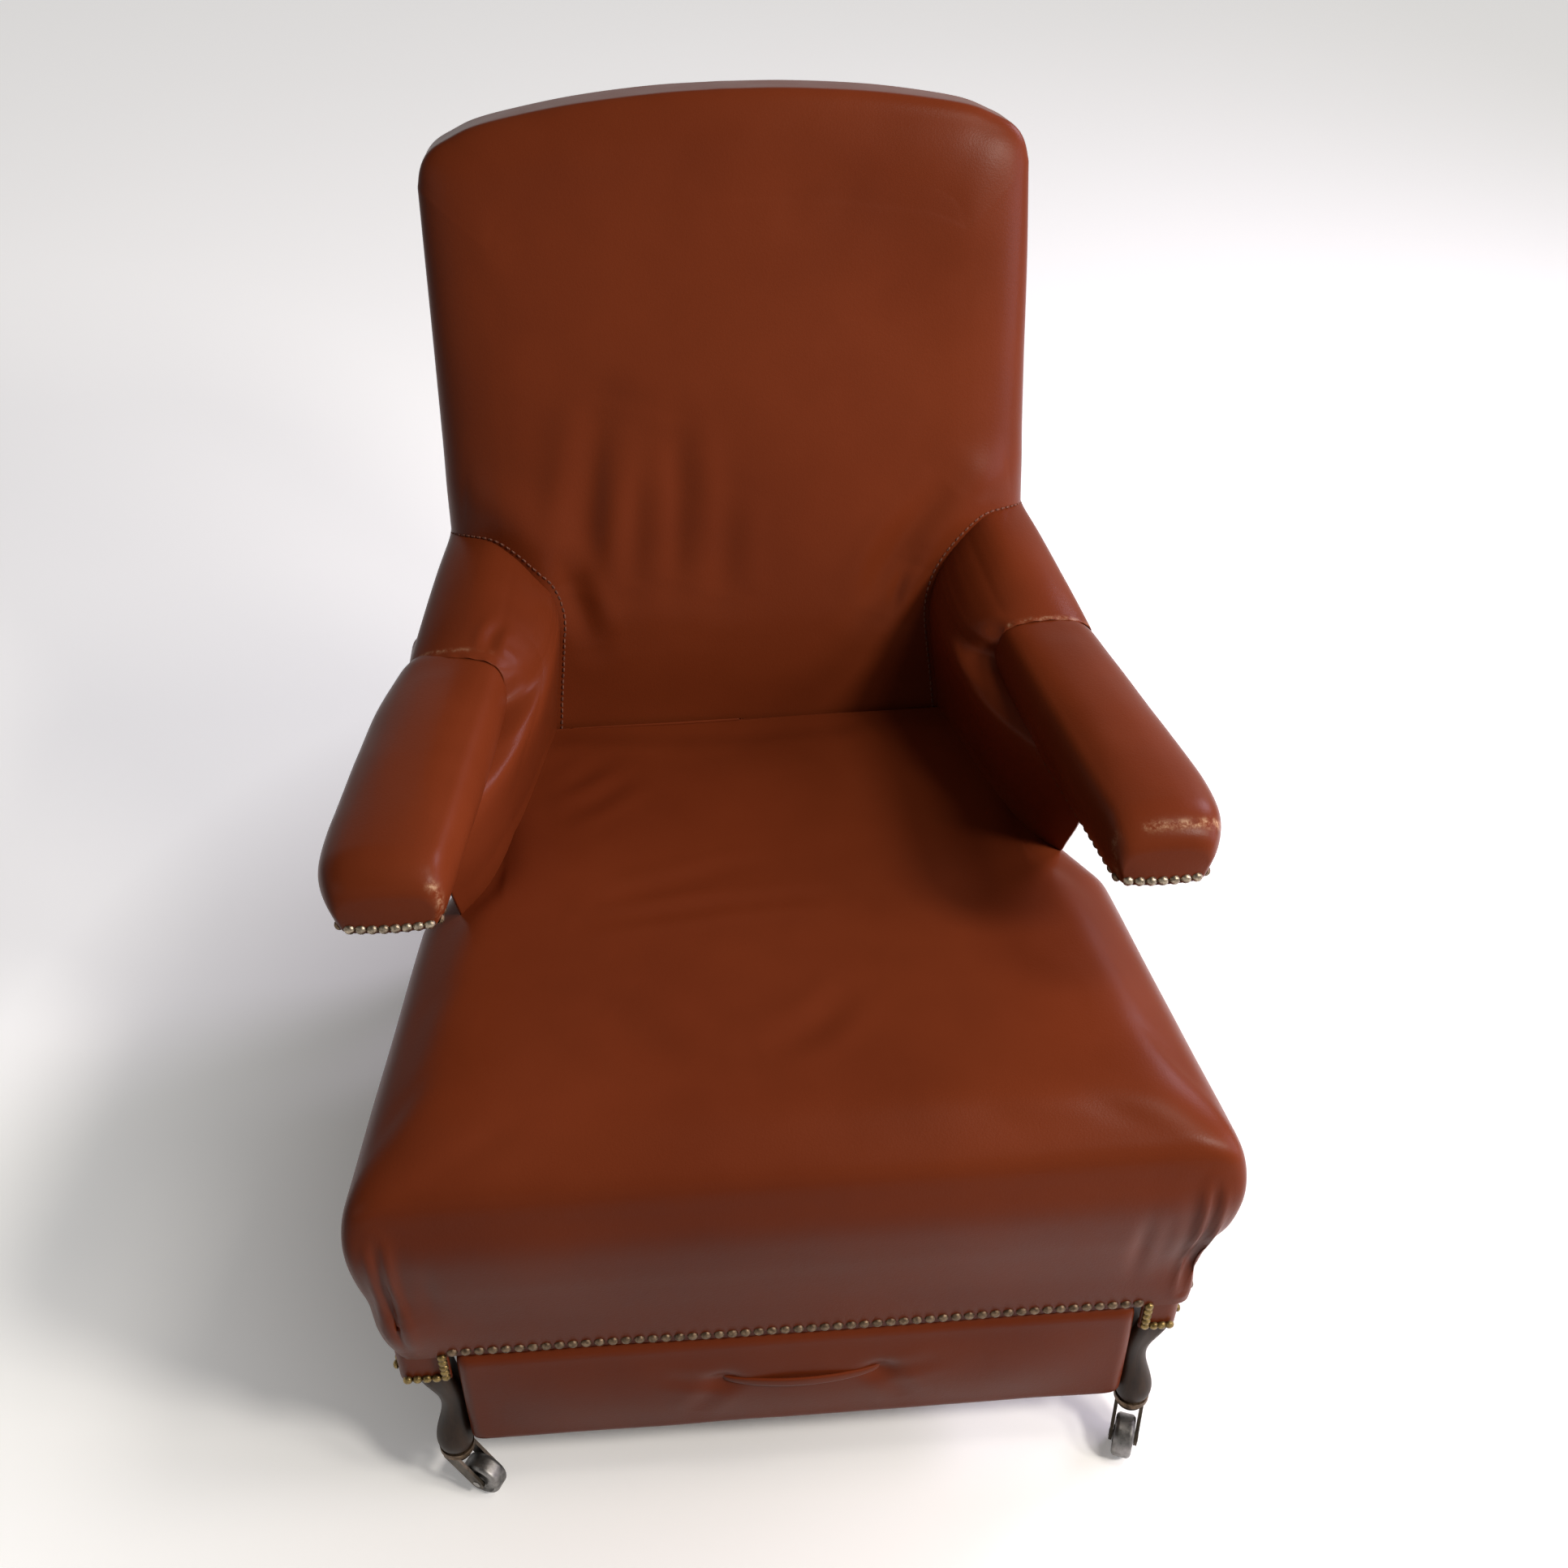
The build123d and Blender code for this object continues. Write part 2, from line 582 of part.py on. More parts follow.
def lumbar_rail():
    depth = stile_depth(LUMBAR_HEIGHT)
    return block(-STILE_INNER, STILE_INNER, depth - RAIL_DEEP / 2, depth + RAIL_DEEP / 2,
                 LUMBAR_HEIGHT - LUMBAR_TALL / 2, LUMBAR_HEIGHT + LUMBAR_TALL / 2)


def back_bottom_rail():
    run = (BOTTOM_RAIL_HEIGHT - RECLINE_HEIGHT) / (KNEE_HEIGHT - RECLINE_HEIGHT)
    depth = RECLINE_DEPTH + (KNEE_DEPTH - RECLINE_DEPTH) * run
    return block(-STILE_INNER, STILE_INNER, depth - RAIL_DEEP / 2, depth + RAIL_DEEP / 2,
                 BOTTOM_RAIL_HEIGHT - BOTTOM_RAIL_TALL / 2, BOTTOM_RAIL_HEIGHT + BOTTOM_RAIL_TALL / 2)


def back_webbing():
    """Cross straps tacked to the front of the stiles."""
    plane = back_frame_plane().offset(STILE_DEEP / 2)
    half = STILE_OUTER - STRAP_TUCK
    straps = []
    for row in range(BACK_STRAPS):
        middle = BACK_STRAP_FIRST + row * BACK_STRAP_STEP
        straps.append(extrude(plane * Pos(0, middle) * Rectangle(2 * half, STRAP_WIDE), STRAP_THICK))
    return group(straps)


def rear_face_depth(height):
    """Depth of the stiles' rear face, above and below the knee."""
    if height >= KNEE_HEIGHT:
        return stile_depth(height) + HALF_STILE_DEPTH
    run = (KNEE_HEIGHT - height) / (KNEE_HEIGHT - RECLINE_HEIGHT)
    knee = KNEE_DEPTH + HALF_STILE_DEPTH
    return knee + (RECLINE_DEPTH + STILE_EYE - knee) * run


def back_outside_panel():
    """Leather panel over the rear of the back frame, bent at the knee."""
    heights = (OUTSIDE_BOTTOM, KNEE_HEIGHT - KNEE_CHORD, KNEE_HEIGHT + KNEE_CHORD, CREST_HEIGHT + 20)
    near = [(rear_face_depth(z), z) for z in heights]
    far = [(y + OUTSIDE_THICK, z) for y, z in reversed(near)]
    sheet = plate(Polygon(*near, *far, align=None), -BACK_HALF, BACK_HALF)
    return sheet & extrude(back_frame_plane() * frame_outline(0.0, OUTSIDE_BOTTOM), STILE_DEEP * 2, both=True)


# Linkage hardware
def recline_pivot():
    """Shouldered bolt from the side rail into the stile, with a round head inside."""
    inner = FRAME_HALF_REAR - RAIL_THICK
    seat = STILE_OUTER + WASHER_HIGH
    bolt = cross_pin(PIVOT_RADIUS, RECLINE_DEPTH, RECLINE_HEIGHT, inner, seat + NUT_THICK)
    head = cross_pin(PIVOT_HEAD, RECLINE_DEPTH, RECLINE_HEIGHT, inner - PIVOT_HEAD_THICK, inner)
    nut = plate(Pos(RECLINE_DEPTH, RECLINE_HEIGHT) * RegularPolygon(PIVOT_HEAD, 6), seat, seat + NUT_THICK)
    return bolt + head + nut


def friction_disc():
    """Fibre disc that grips between the rail and the stile and holds the back at any angle."""
    disc = cross_pin(DISC_RADIUS, RECLINE_DEPTH, RECLINE_HEIGHT, FRAME_HALF_REAR, STILE_INNER)
    return disc - cross_pin(PIVOT_RADIUS + FIT, RECLINE_DEPTH, RECLINE_HEIGHT, FRAME_HALF_REAR, STILE_INNER)


def spring_washer():
    """Cupped steel washer under the pivot's nut."""
    inner = PIVOT_RADIUS + FIT
    profile = Polygon((inner, WASHER_HIGH), (WASHER_RADIUS, WASHER_THICK), (WASHER_RADIUS, 0.0),
                      (inner, WASHER_HIGH - WASHER_THICK), align=None)
    washer = revolve(Plane.XZ * profile, Axis.Z, 360)
    return Pos(STILE_OUTER, RECLINE_DEPTH, RECLINE_HEIGHT) * Rot(0, 90, 0) * washer


def pin_head(depth, height, x):
    """Flat rivet head, standing just clear of what turns under it."""
    return cross_pin(PIN_HEAD, depth, height, x + HEAD_GAP, x + HEAD_GAP + HEAD_THICK)


def post_pin():
    """Riveted pin that carries a post on the side rail."""
    inner = frame_half(POST_DEPTH) - RAIL_THICK
    shoulder = frame_half(POST_DEPTH) + LEATHER + COLLAR_GAP
    pin = cross_pin(PIN_RADIUS, POST_DEPTH, POST_HEIGHT, inner, POST_OUTER + 2 * HEAD_GAP)
    collar = cross_pin(PIN_HEAD, POST_DEPTH, POST_HEIGHT, shoulder, POST_INNER - HEAD_GAP)
    return pin + collar + pin_head(POST_DEPTH, POST_HEIGHT, POST_OUTER)


def arm_rear_pin():
    """Pin in the stile that the arm's steel lug turns on."""
    pin = cross_pin(PIN_RADIUS, RECLINE_DEPTH, ARM_PIVOT_HEIGHT, STILE_INNER, LUG_OUTER + 2 * HEAD_GAP)
    return pin + pin_head(RECLINE_DEPTH, ARM_PIVOT_HEIGHT, LUG_OUTER)


def arm_front_pin():
    """Pin in the arm rail, through the head of the post."""
    return cross_pin(PIN_RADIUS, POST_DEPTH, POST_TOP, POST_INNER - FRONT_PIN_INSIDE,
                     POST_OUTER + FRONT_PIN_OUTSIDE)


def arm_post():
    """Post with an eye at each end, waisted between them."""
    start = (POST_DEPTH, POST_HEIGHT)
    end = (POST_DEPTH, POST_TOP)
    outline = link_outline(start, end, POST_WIDE / 2)
    outline += Pos(*start) * Circle(POST_EYE)
    post = plate(outline, POST_INNER, POST_OUTER)
    post -= cross_pin(PIN_RADIUS + RUNNING, *start, 0, POST_OUTER + 1)
    return post - cross_pin(PIN_RADIUS + OPEN_PIVOT_GAP, *end, 0, POST_OUTER + 1)


# Arms
def arm_share(front_value, hem_value, depth):
    """A value that runs straight from the arm's front to its hem."""
    run = (depth - ARM_FRONT) / (ARM_HEM - ARM_FRONT)
    return front_value + (hem_value - front_value) * run


def arm_inner(depth):
    return arm_share(ARM_IN_FRONT, ARM_IN_HEM, depth)


def arm_outer(depth):
    return arm_share(ARM_OUT_FRONT, ARM_OUT_HEM, depth)


def rail_height(depth):
    return arm_share(ARM_RAIL_FRONT_Z, ARM_RAIL_HEM_Z, depth)


def rail_face(depth, inner, outer, height, grow):
    half = ARM_RAIL_THICK / 2 + grow
    return upright(depth, inner - grow, outer + grow, height - half, height + half)


def rail_body(grow=0.0):
    """The arm rail without its slot, or its surroundings when grown."""
    neck = POST_DEPTH + SLOT_HALF + STRAP_TUCK
    end_inner = arm_inner(neck) + ARM_PAD_SIDE
    faces = [rail_face(ARM_RAIL_END + grow, end_inner, LUG_INNER, ARM_RAIL_END_Z, grow),
             rail_face(ARM_RAIL_SHOULDER, end_inner, LUG_INNER, rail_height(neck), grow)]
    for depth in (neck, ARM_FRONT + ARM_PAD_SIDE - grow):
        inner = arm_inner(depth) + ARM_PAD_SIDE
        outer = arm_outer(depth) - ARM_PAD_SIDE
        faces.append(rail_face(depth, inner, outer, rail_height(depth), grow))
    return loft(faces, ruled=True)


def post_slot(high):
    """Space around the head of a post."""
    return block(POST_INNER - SLOT_GAP, POST_OUTER + SLOT_GAP, POST_DEPTH - SLOT_HALF, POST_DEPTH + SLOT_HALF,
                 0, high)


def arm_rail():
    """Hardwood rail, splayed and rising to the front, slotted for the head of the post."""
    rail = rail_body() - post_slot(2 * POST_TOP)
    return rail - cross_pin(PIN_RADIUS + FIT, POST_DEPTH, POST_TOP, POST_INNER - FRONT_PIN_INSIDE - 1,
                            POST_OUTER + FRONT_PIN_OUTSIDE + 1)


def lug_outline(grow=0.0):
    fixing = (LUG_FIX_DEPTH, (ARM_RAIL_END_Z + rail_height(ARM_HEM)) / 2)
    return link_outline(fixing, (RECLINE_DEPTH, ARM_PIVOT_HEIGHT), LUG_RADIUS + grow)


def arm_lug():
    """Steel strap from the arm rail to the pin in the stile."""
    lug = plate(lug_outline(), LUG_INNER, LUG_OUTER)
    return lug - cross_pin(PIN_RADIUS + RUNNING, RECLINE_DEPTH, ARM_PIVOT_HEIGHT, 0, LUG_OUTER + 1)


def arm_pad_face(depth):
    """Section of the arm pad: flat below, upright sides and a crowned top."""
    inner = arm_inner(depth)
    outer = arm_outer(depth)
    low = rail_height(depth) + ARM_RAIL_THICK / 2
    plane = Plane(origin=(0, depth, low), x_dir=(1, 0, 0), z_dir=(0, -1, 0))
    crown = ((inner + outer) / 2, ARM_PAD_CROWN)
    edges = [Line((inner, 0), (outer, 0)), Line((outer, 0), (outer, ARM_PAD_RISE)),
             ThreePointArc((outer, ARM_PAD_RISE), crown, (inner, ARM_PAD_RISE)),
             Line((inner, ARM_PAD_RISE), (inner, 0))]
    return plane * make_face(edges)


def arm_pad():
    """Stuffed pad on the front of the arm, rounded over along its top and front edges."""
    pad = loft([arm_pad_face(ARM_HEM - 1), arm_pad_face(ARM_FRONT)], ruled=True)
    front_low = rail_height(ARM_FRONT) + ARM_RAIL_THICK / 2
    front = [e for e in pad.edges() if abs(e.center().Y - ARM_FRONT) < 1 and e.center().Z > front_low + 1]
    long = [e for e in pad.edges() if e.length > 100 and e.center().Y > ARM_FRONT + 50
            and e.center().Z > rail_height(e.center().Y) + ARM_RAIL_THICK / 2 + ARM_PAD_RISE / 2]
    return fillet([*front, *long], ARM_PAD_ROUND)


def wing_face(points, height):
    """Plan of a wing at one height, from its front edge back past the seam."""
    front, back = points[0], points[-1]
    far = RECLINE_DEPTH
    rim = wing_curve(points)
    sides = Polyline(back, (back[0], far), (WING_OUTER, far), (front[0] + WING_EDGE, front[1]), front)
    return Pos(0, 0, height) * make_face([rim, sides])


def sleeve():
    """Padded root of the arm, from the hem back into the seam."""
    low = rail_height(ARM_HEM) - ARM_RAIL_THICK / 2
    hem_top = rail_height(ARM_HEM) + ARM_RAIL_THICK / 2 + ARM_PAD_CROWN
    end = pad_front_depth(SLEEVE_BACK_TOP) + 30
    middle = (ARM_HEM + end) / 2
    faces = [upright(ARM_HEM, ARM_IN_HEM, ARM_OUT_HEM, low, hem_top, SLEEVE_ROUND),
             upright(middle, (ARM_IN_HEM + SLEEVE_BACK_IN) / 2, (ARM_OUT_HEM + SLEEVE_BACK_OUT) / 2,
                     low, (hem_top + SLEEVE_BACK_TOP) / 2, SLEEVE_ROUND),
             upright(end, SLEEVE_BACK_IN, SLEEVE_BACK_OUT, low, SLEEVE_BACK_TOP, SLEEVE_ROUND)]
    return loft(faces)


def behind_back_face(gap):
    """Everything behind the front face of the back pad, less a gap."""
    def depth(height):
        return pad_front_depth(height) - gap
    high = 2 * CREST_HEIGHT
    far = 4 * FRAME_REAR
    outline = Polygon((depth(0), 0), (depth(high), high), (far, high), (far, 0), align=None)
    return plate(outline, 0, 2 * FRAME_HALF_FRONT)


def side_wing():
    """Soft padded wing sewn to the back and the arm: it closes the side over the seat."""
    wing = loft([wing_face(WING_LOW, WING_BOTTOM), wing_face(WING_HIGH, WING_TOP)]) + sleeve()
    wing -= behind_back_face(WING_BACK_GAP)
    wing -= rail_body(WING_CLEAR)
    wing -= post_slot(POST_TOP + POST_EYE + STRAP_TUCK)
    return wing - plate(lug_outline(2 * WING_CLEAR), LUG_INNER - WING_CLEAR, LUG_OUTER + STRAP_TUCK)


# Casters
def turned(piece, turn, x):
    """A caster piece, made with its trail along x, turned about its stem."""
    return Pos(x, FOOT_DEPTH, 0) * Rot(0, 0, turn) * piece


def caster_fork():
    """Horn of the caster: a stem, a round plate and two cheeks that reach down to the axle."""
    inner = WHEEL_WIDE / 2 + HUB_PROUD + CHEEK_GAP
    outer = inner + CHEEK_THICK
    low = FORK_TOP - FORK_PLATE
    plate_body = Pos(0, 0, low) * Cylinder(outer, FORK_PLATE, align=(Align.CENTER, Align.CENTER, Align.MIN))
    cheek = make_hull([*(Pos(TRAIL, WHEEL_RADIUS) * Circle(AXLE_EYE)).edges(),
                       *(Pos(0, low + FORK_PLATE / 2) * Rectangle(outer * 1.1, FORK_PLATE)).edges()])
    cheek = extrude(Plane.XZ * cheek, CHEEK_THICK, dir=(0, -1, 0))
    stem = Cylinder(STEM_RADIUS, STEM_LONG + FOOT_BOTTOM - FORK_TOP + FORK_PLATE,
                    align=(Align.CENTER, Align.CENTER, Align.MIN))
    fork = plate_body + Pos(0, 0, low) * stem
    fork += Pos(0, -inner, 0) * cheek
    fork += Pos(0, outer, 0) * cheek
    bore = Rot(90, 0, 0) * Cylinder(AXLE_RADIUS + FIT, 4 * WHEEL_WIDE)
    return fork - Pos(TRAIL, 0, WHEEL_RADIUS) * bore


def caster_wheel():
    """Solid wheel with a rounded tread and a raised hub."""
    half = WHEEL_WIDE / 2
    bore = AXLE_RADIUS + RUNNING
    hub = half + HUB_PROUD
    dish = half - WHEEL_DISH
    rim = WHEEL_RADIUS - WHEEL_RIM
    upper = [(WHEEL_RADIUS, half), (rim, half), (rim - 1, dish),
             (HUB_RADIUS, dish), (HUB_RADIUS, hub), (bore, hub)]
    lower = [(r, -z) for r, z in reversed(upper)]
    profile = Polygon(*lower, *upper, align=None)
    tread = [v for v in profile.vertices() if v.X > WHEEL_RADIUS - 0.1]
    wheel = revolve(Plane.XZ * fillet(tread, TREAD_ROUND), Axis.Z, 360)
    return Pos(TRAIL, 0, WHEEL_RADIUS) * Rot(90, 0, 0) * wheel


def caster_axle():
    half = WHEEL_WIDE / 2 + HUB_PROUD + CHEEK_GAP + CHEEK_THICK
    return Pos(TRAIL, 0, WHEEL_RADIUS) * Rot(90, 0, 0) * Cylinder(AXLE_RADIUS, 2 * half + 1)


def caster_socket():
    """Brass cup under the foot that the caster's plate turns against."""
    low = FORK_TOP + SOCKET_GAP
    cup = Cylinder(SOCKET_RADIUS, FOOT_BOTTOM - low, align=(Align.CENTER, Align.CENTER, Align.MIN))
    hole = Cylinder(STEM_RADIUS + RUNNING, 4 * FOOT_BOTTOM)
    return Pos(FOOT_X, FOOT_DEPTH, low) * (cup - hole)


# Footrest
def footrest_front_board():
    return block(-FOOTREST_HALF, FOOTREST_HALF, FRONT_BOARD_DEPTH, FRONT_BOARD_DEPTH + BOARD_THICK,
                 FOOTREST_BOTTOM, FOOTREST_TOP)


def footrest_front_pad():
    """Padded leather front, crowned and drawn in to its edges."""
    faces = []
    for share, inset, corner in FRONT_PAD_LEVELS:
        depth = FRONT_BOARD_DEPTH - (FRONT_BOARD_DEPTH + FRONT_PAD_PROUD) * share
        faces.append(upright(depth, -FOOTREST_HALF + inset, FOOTREST_HALF - inset,
                             FOOTREST_BOTTOM + inset, FOOTREST_TOP - inset, corner))
    return loft(faces)


def footrest_side():
    rear = FRONT_BOARD_DEPTH + BOARD_THICK
    return block(DRAWER_HALF - DRAWER_SIDE, DRAWER_HALF, rear, DRAWER_REAR, DRAWER_BOTTOM, DRAWER_TOP)


def footrest_back_board():
    half = DRAWER_HALF - DRAWER_SIDE
    return block(-half, half, DRAWER_REAR - BOARD_THICK, DRAWER_REAR, DRAWER_BOTTOM, DRAWER_TOP)


def footrest_top_board():
    half = DRAWER_HALF - DRAWER_SIDE
    return block(-half, half, FRONT_BOARD_DEPTH + BOARD_THICK, DRAWER_REAR - BOARD_THICK,
                 DRAWER_TOP - TOP_BOARD, DRAWER_TOP)


def footrest_top_pad():
    """Thin foot pad on the top board, crowned."""
    near = FRONT_BOARD_DEPTH + BOARD_THICK + 2
    middle = (near + DRAWER_REAR) / 2
    long = DRAWER_REAR - near
    faces = []
    for share, inset, corner in TOP_PAD_LEVELS:
        outline = RectangleRounded(2 * (DRAWER_HALF - inset), long - 2 * inset, corner)
        faces.append(Pos(0, middle, DRAWER_TOP + TOP_PAD_HIGH * share) * outline)
    return loft(faces)


def footrest_cleat():
    """Hardwood strip that slides in the runner's groove."""
    return block(DRAWER_HALF, DRAWER_HALF + CLEAT_WIDE, CLEAT_FRONT, CLEAT_REAR,
                 CLEAT_HEIGHT, CLEAT_HEIGHT + CLEAT_TALL)


def footrest_runner():
    """Grooved runner under the battens."""
    inner = DRAWER_HALF + RUNNER_INSIDE
    groove = DRAWER_HALF + CLEAT_WIDE + RUNNER_GAP
    low = CLEAT_HEIGHT - RUNNER_WALL
    body = block(inner, groove + RUNNER_WALL, RUNNER_FRONT, RUNNER_REAR, low, RAIL_BOTTOM)
    return body - block(inner, groove, RUNNER_FRONT, RUNNER_REAR, CLEAT_HEIGHT - RUNNER_GAP / 2,
                        CLEAT_HEIGHT + CLEAT_TALL + RUNNER_GAP)


def runner_battens():
    """Cross battens between the side rails that carry the runners."""
    battens = []
    for near in BATTEN_DEPTHS:
        far = near + BATTEN_DEEP
        outline = [(-frame_half(near) + RAIL_THICK, near), (frame_half(near) - RAIL_THICK, near),
                   (frame_half(far) - RAIL_THICK, far), (-frame_half(far) + RAIL_THICK, far)]
        battens.append(slab(outline, RAIL_BOTTOM, RAIL_BOTTOM + BATTEN_TALL))
    return group(battens)


def footrest_pull():
    """Slack leather strap with both ends tucked into the front pad."""
    face = -FRONT_PAD_PROUD
    middle = (PULL_LEFT + PULL_RIGHT) / 2
    outer = ThreePointArc((PULL_LEFT, face), (middle, face - PULL_PROUD), (PULL_RIGHT, face))
    inner = ThreePointArc((PULL_LEFT + 2 * PULL_THICK, face), (middle, face - PULL_PROUD + PULL_THICK),
                          (PULL_RIGHT - 2 * PULL_THICK, face))
    ends = [Line((PULL_LEFT, face), (PULL_LEFT + 2 * PULL_THICK, face)),
            Line((PULL_RIGHT, face), (PULL_RIGHT - 2 * PULL_THICK, face))]
    strap = make_face([outer, inner, *ends])
    return extrude(Pos(0, 0, PULL_HEIGHT - PULL_WIDE / 2) * strap, PULL_WIDE, dir=(0, 0, 1))


def both_sides(name, piece):
    """A right-hand piece and its mirror, under their own names."""
    return {f"right_{name}": piece, f"left_{name}": other_side(piece)}


def caster(side, turn, x):
    return {f"{side}_caster_fork": turned(caster_fork(), turn, x),
            f"{side}_caster_wheel": turned(caster_wheel(), turn, x),
            f"{side}_caster_axle": turned(caster_axle(), turn, x)}


def pair(piece):
    return group([piece, other_side(piece)])


def all_parts():
    parts = {
        "front_rail": front_rail(),
        "rear_rail": rear_rail(),
        "corner_blocks": corner_blocks(),
        "seat_webbing": seat_webbing(),
        "seat_cushion": seat_cushion(),
        "front_apron": front_apron(),
        "runner_battens": runner_battens(),
        "recline_pivots": pair(recline_pivot()),
        "friction_discs": pair(friction_disc()),
        "spring_washers": pair(spring_washer()),
        "post_pins": pair(post_pin()),
        "caster_sockets": pair(caster_socket()),
        "crest_rail": crest_rail(),
        "lumbar_rail": lumbar_rail(),
        "back_bottom_rail": back_bottom_rail(),
        "back_webbing": back_webbing(),
        "back_cushion": back_cushion(),
        "back_outside_panel": back_outside_panel(),
        "arm_rear_pins": pair(arm_rear_pin()),
        "footrest_front_board": footrest_front_board(),
        "footrest_front_pad": footrest_front_pad(),
        "footrest_back_board": footrest_back_board(),
        "footrest_top_board": footrest_top_board(),
        "footrest_top_pad": footrest_top_pad(),
        "footrest_cleats": pair(footrest_cleat()),
        "footrest_pull": footrest_pull(),
    }
    handed = {"side_rail": side_rail, "side_apron": side_apron, "front_leg": front_leg, "rear_leg": rear_leg,
              "back_stile": stile, "arm_post": arm_post, "arm_rail": arm_rail, "arm_pad": arm_pad,
              "arm_lug": arm_lug, "arm_front_pin": arm_front_pin, "side_wing": side_wing,
              "footrest_side": footrest_side, "footrest_runner": footrest_runner}
    for name, make in handed.items():
        parts.update(both_sides(name, make()))
    parts.update(caster("left", LEFT_CASTER_TURN, -FOOT_X))
    parts.update(caster("right", RIGHT_CASTER_TURN, FOOT_X))
    return parts


os.makedirs("parts", exist_ok=True)
for node, piece in all_parts().items():
    export_step(Pos(0, -ORIGIN_DEPTH, 0) * piece, f"parts/{node}.step")
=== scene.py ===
import json
import math
import bpy
import numpy as np
from mathutils import Matrix, Vector, noise
from mathutils.bvhtree import BVHTree


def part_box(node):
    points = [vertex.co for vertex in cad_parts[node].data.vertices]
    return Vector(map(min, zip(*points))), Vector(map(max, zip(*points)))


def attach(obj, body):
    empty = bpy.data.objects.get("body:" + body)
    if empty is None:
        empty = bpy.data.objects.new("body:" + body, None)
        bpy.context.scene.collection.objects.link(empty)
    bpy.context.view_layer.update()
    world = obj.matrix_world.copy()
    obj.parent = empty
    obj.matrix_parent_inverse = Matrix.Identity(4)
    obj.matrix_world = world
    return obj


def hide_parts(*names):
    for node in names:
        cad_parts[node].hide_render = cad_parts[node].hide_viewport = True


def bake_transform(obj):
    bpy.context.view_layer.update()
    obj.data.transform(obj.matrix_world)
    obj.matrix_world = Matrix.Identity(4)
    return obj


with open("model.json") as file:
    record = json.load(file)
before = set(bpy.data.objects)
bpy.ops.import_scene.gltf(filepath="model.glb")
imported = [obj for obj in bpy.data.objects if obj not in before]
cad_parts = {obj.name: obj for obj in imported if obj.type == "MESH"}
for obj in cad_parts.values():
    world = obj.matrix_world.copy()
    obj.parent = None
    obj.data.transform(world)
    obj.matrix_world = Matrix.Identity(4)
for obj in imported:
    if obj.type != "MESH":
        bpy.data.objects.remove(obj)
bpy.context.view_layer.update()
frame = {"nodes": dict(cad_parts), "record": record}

# Sizes in millimetres: x to the viewer's right, depth back from the front apron, height above the floor
ORIGIN_DEPTH = 386.2
MM = 0.001

# Seat: plan at its widest level, then height and inset of its side from the apron up to the rolled edge
SEAT_CORNER = (368.0, -16.0)
SEAT_SHOULDER = (318.0, 316.0)
SEAT_NECK = (279.0, 372.0)
SEAT_REAR = (268.0, 547.0)
APRON_SHOULDER = (298.0, 316.0)
APRON_NECK = (284.5, 372.0)
APRON_REAR = (259.5, 547.0)
SEAT_PROFILE = [(213, 20), (235, 17.5), (270, 13.5), (305, 8), (332, 3.5), (362, 0.6), (386, 0), (403, 1.5),
                (416, 5), (426, 11), (434, 20), (440, 32), (444.5, 48), (447.5, 68), (449.5, 92)]
SEAT_RADII = (15, 30, 30, 14)
SEAT_SWELL_AT = 386.0
CUSHION_FROM = 300.0
CUSHION_BLEND = 80.0
FRONT_SHARE = 0.72
FRONT_ROUND = 6.0
FRONT_ROUND_AT = 410.0
FRONT_ROUND_SPAN = 24.0
SEAT_CROWN = 9.0
SEAT_TOP = 456.0
SEAT_GRID = (96, 84)

# Tabs of the apron over the front legs
TAB_INNER = 302.0
TAB_BOTTOM = 178.0
TAB_TOP = 232.0
TAB_MIDDLE = 22.0
TAB_INWARD = 18.0
TAB_PROUD = 0.4
TAB_HALF = {-1: 350.0, 1: 339.0}
LEG_BACK = 40.0

# Back: measured along its lean from the knee, and forwards from the middle of its frame
KNEE = (638.0, 440.0)
LEAN = math.radians(14.0)
LOW_RUN = (0.151, -0.9885)
BACK_EDGE = [(281, -118), (280.5, 150), (277.5, 470), (276.8, 503), (272, 522.6), (262, 535), (245, 543.7),
             (225, 551.9), (190, 559.1), (130, 568), (60, 574), (0, 575.6)]
BACK_FOOT = -118.0
BACK_REAR = -28.0
FRAME_FRONT = 26.0
FACE_AT_KNEE = 86.4
FACE_FALL = 0.0699
BACK_ROLL = 62.0
BACK_CROWN = 11.0
BACK_CORNER = 262.0
BACK_GRID = (84, 100)

# Side wings, right side: the seam on the back, the hem on the arm and below it, the foot on the seat
SEAM = [(281, 676, 562), (283, 668, 592), (279, 650, 618), (258, 631, 629), (236, 613, 632), (213, 607, 619),
        (195, 601, 599), (184, 593, 575), (180, 585, 550), (182, 575, 520), (187, 562, 480), (191, 551, 440)]
HEM = [(309, 474, 551), (316, 471, 578), (313, 469, 601), (292, 466, 613), (262, 463, 617),
       (236, 462, 612), (226, 460, 597), (230, 448, 576), (243, 387, 576), (262, 318, 574),
       (276, 300, 530), (276, 346, 440)]
WING_FOOT = [(191, 551, 440), (203, 496, 440), (217, 437, 440), (231, 398, 440), (252, 366, 440),
             (276, 346, 440)]
WING_REACH = {"left": 44.0, "right": 6.0}
WING_EAVE = [(281, 676, 562), (296, 580, 553), (309, 472, 551)]
SLEEVE_CENTRE = (270.0, 575.0)
SLEEVE_SHARE = 0.62
FLANK = 278.0

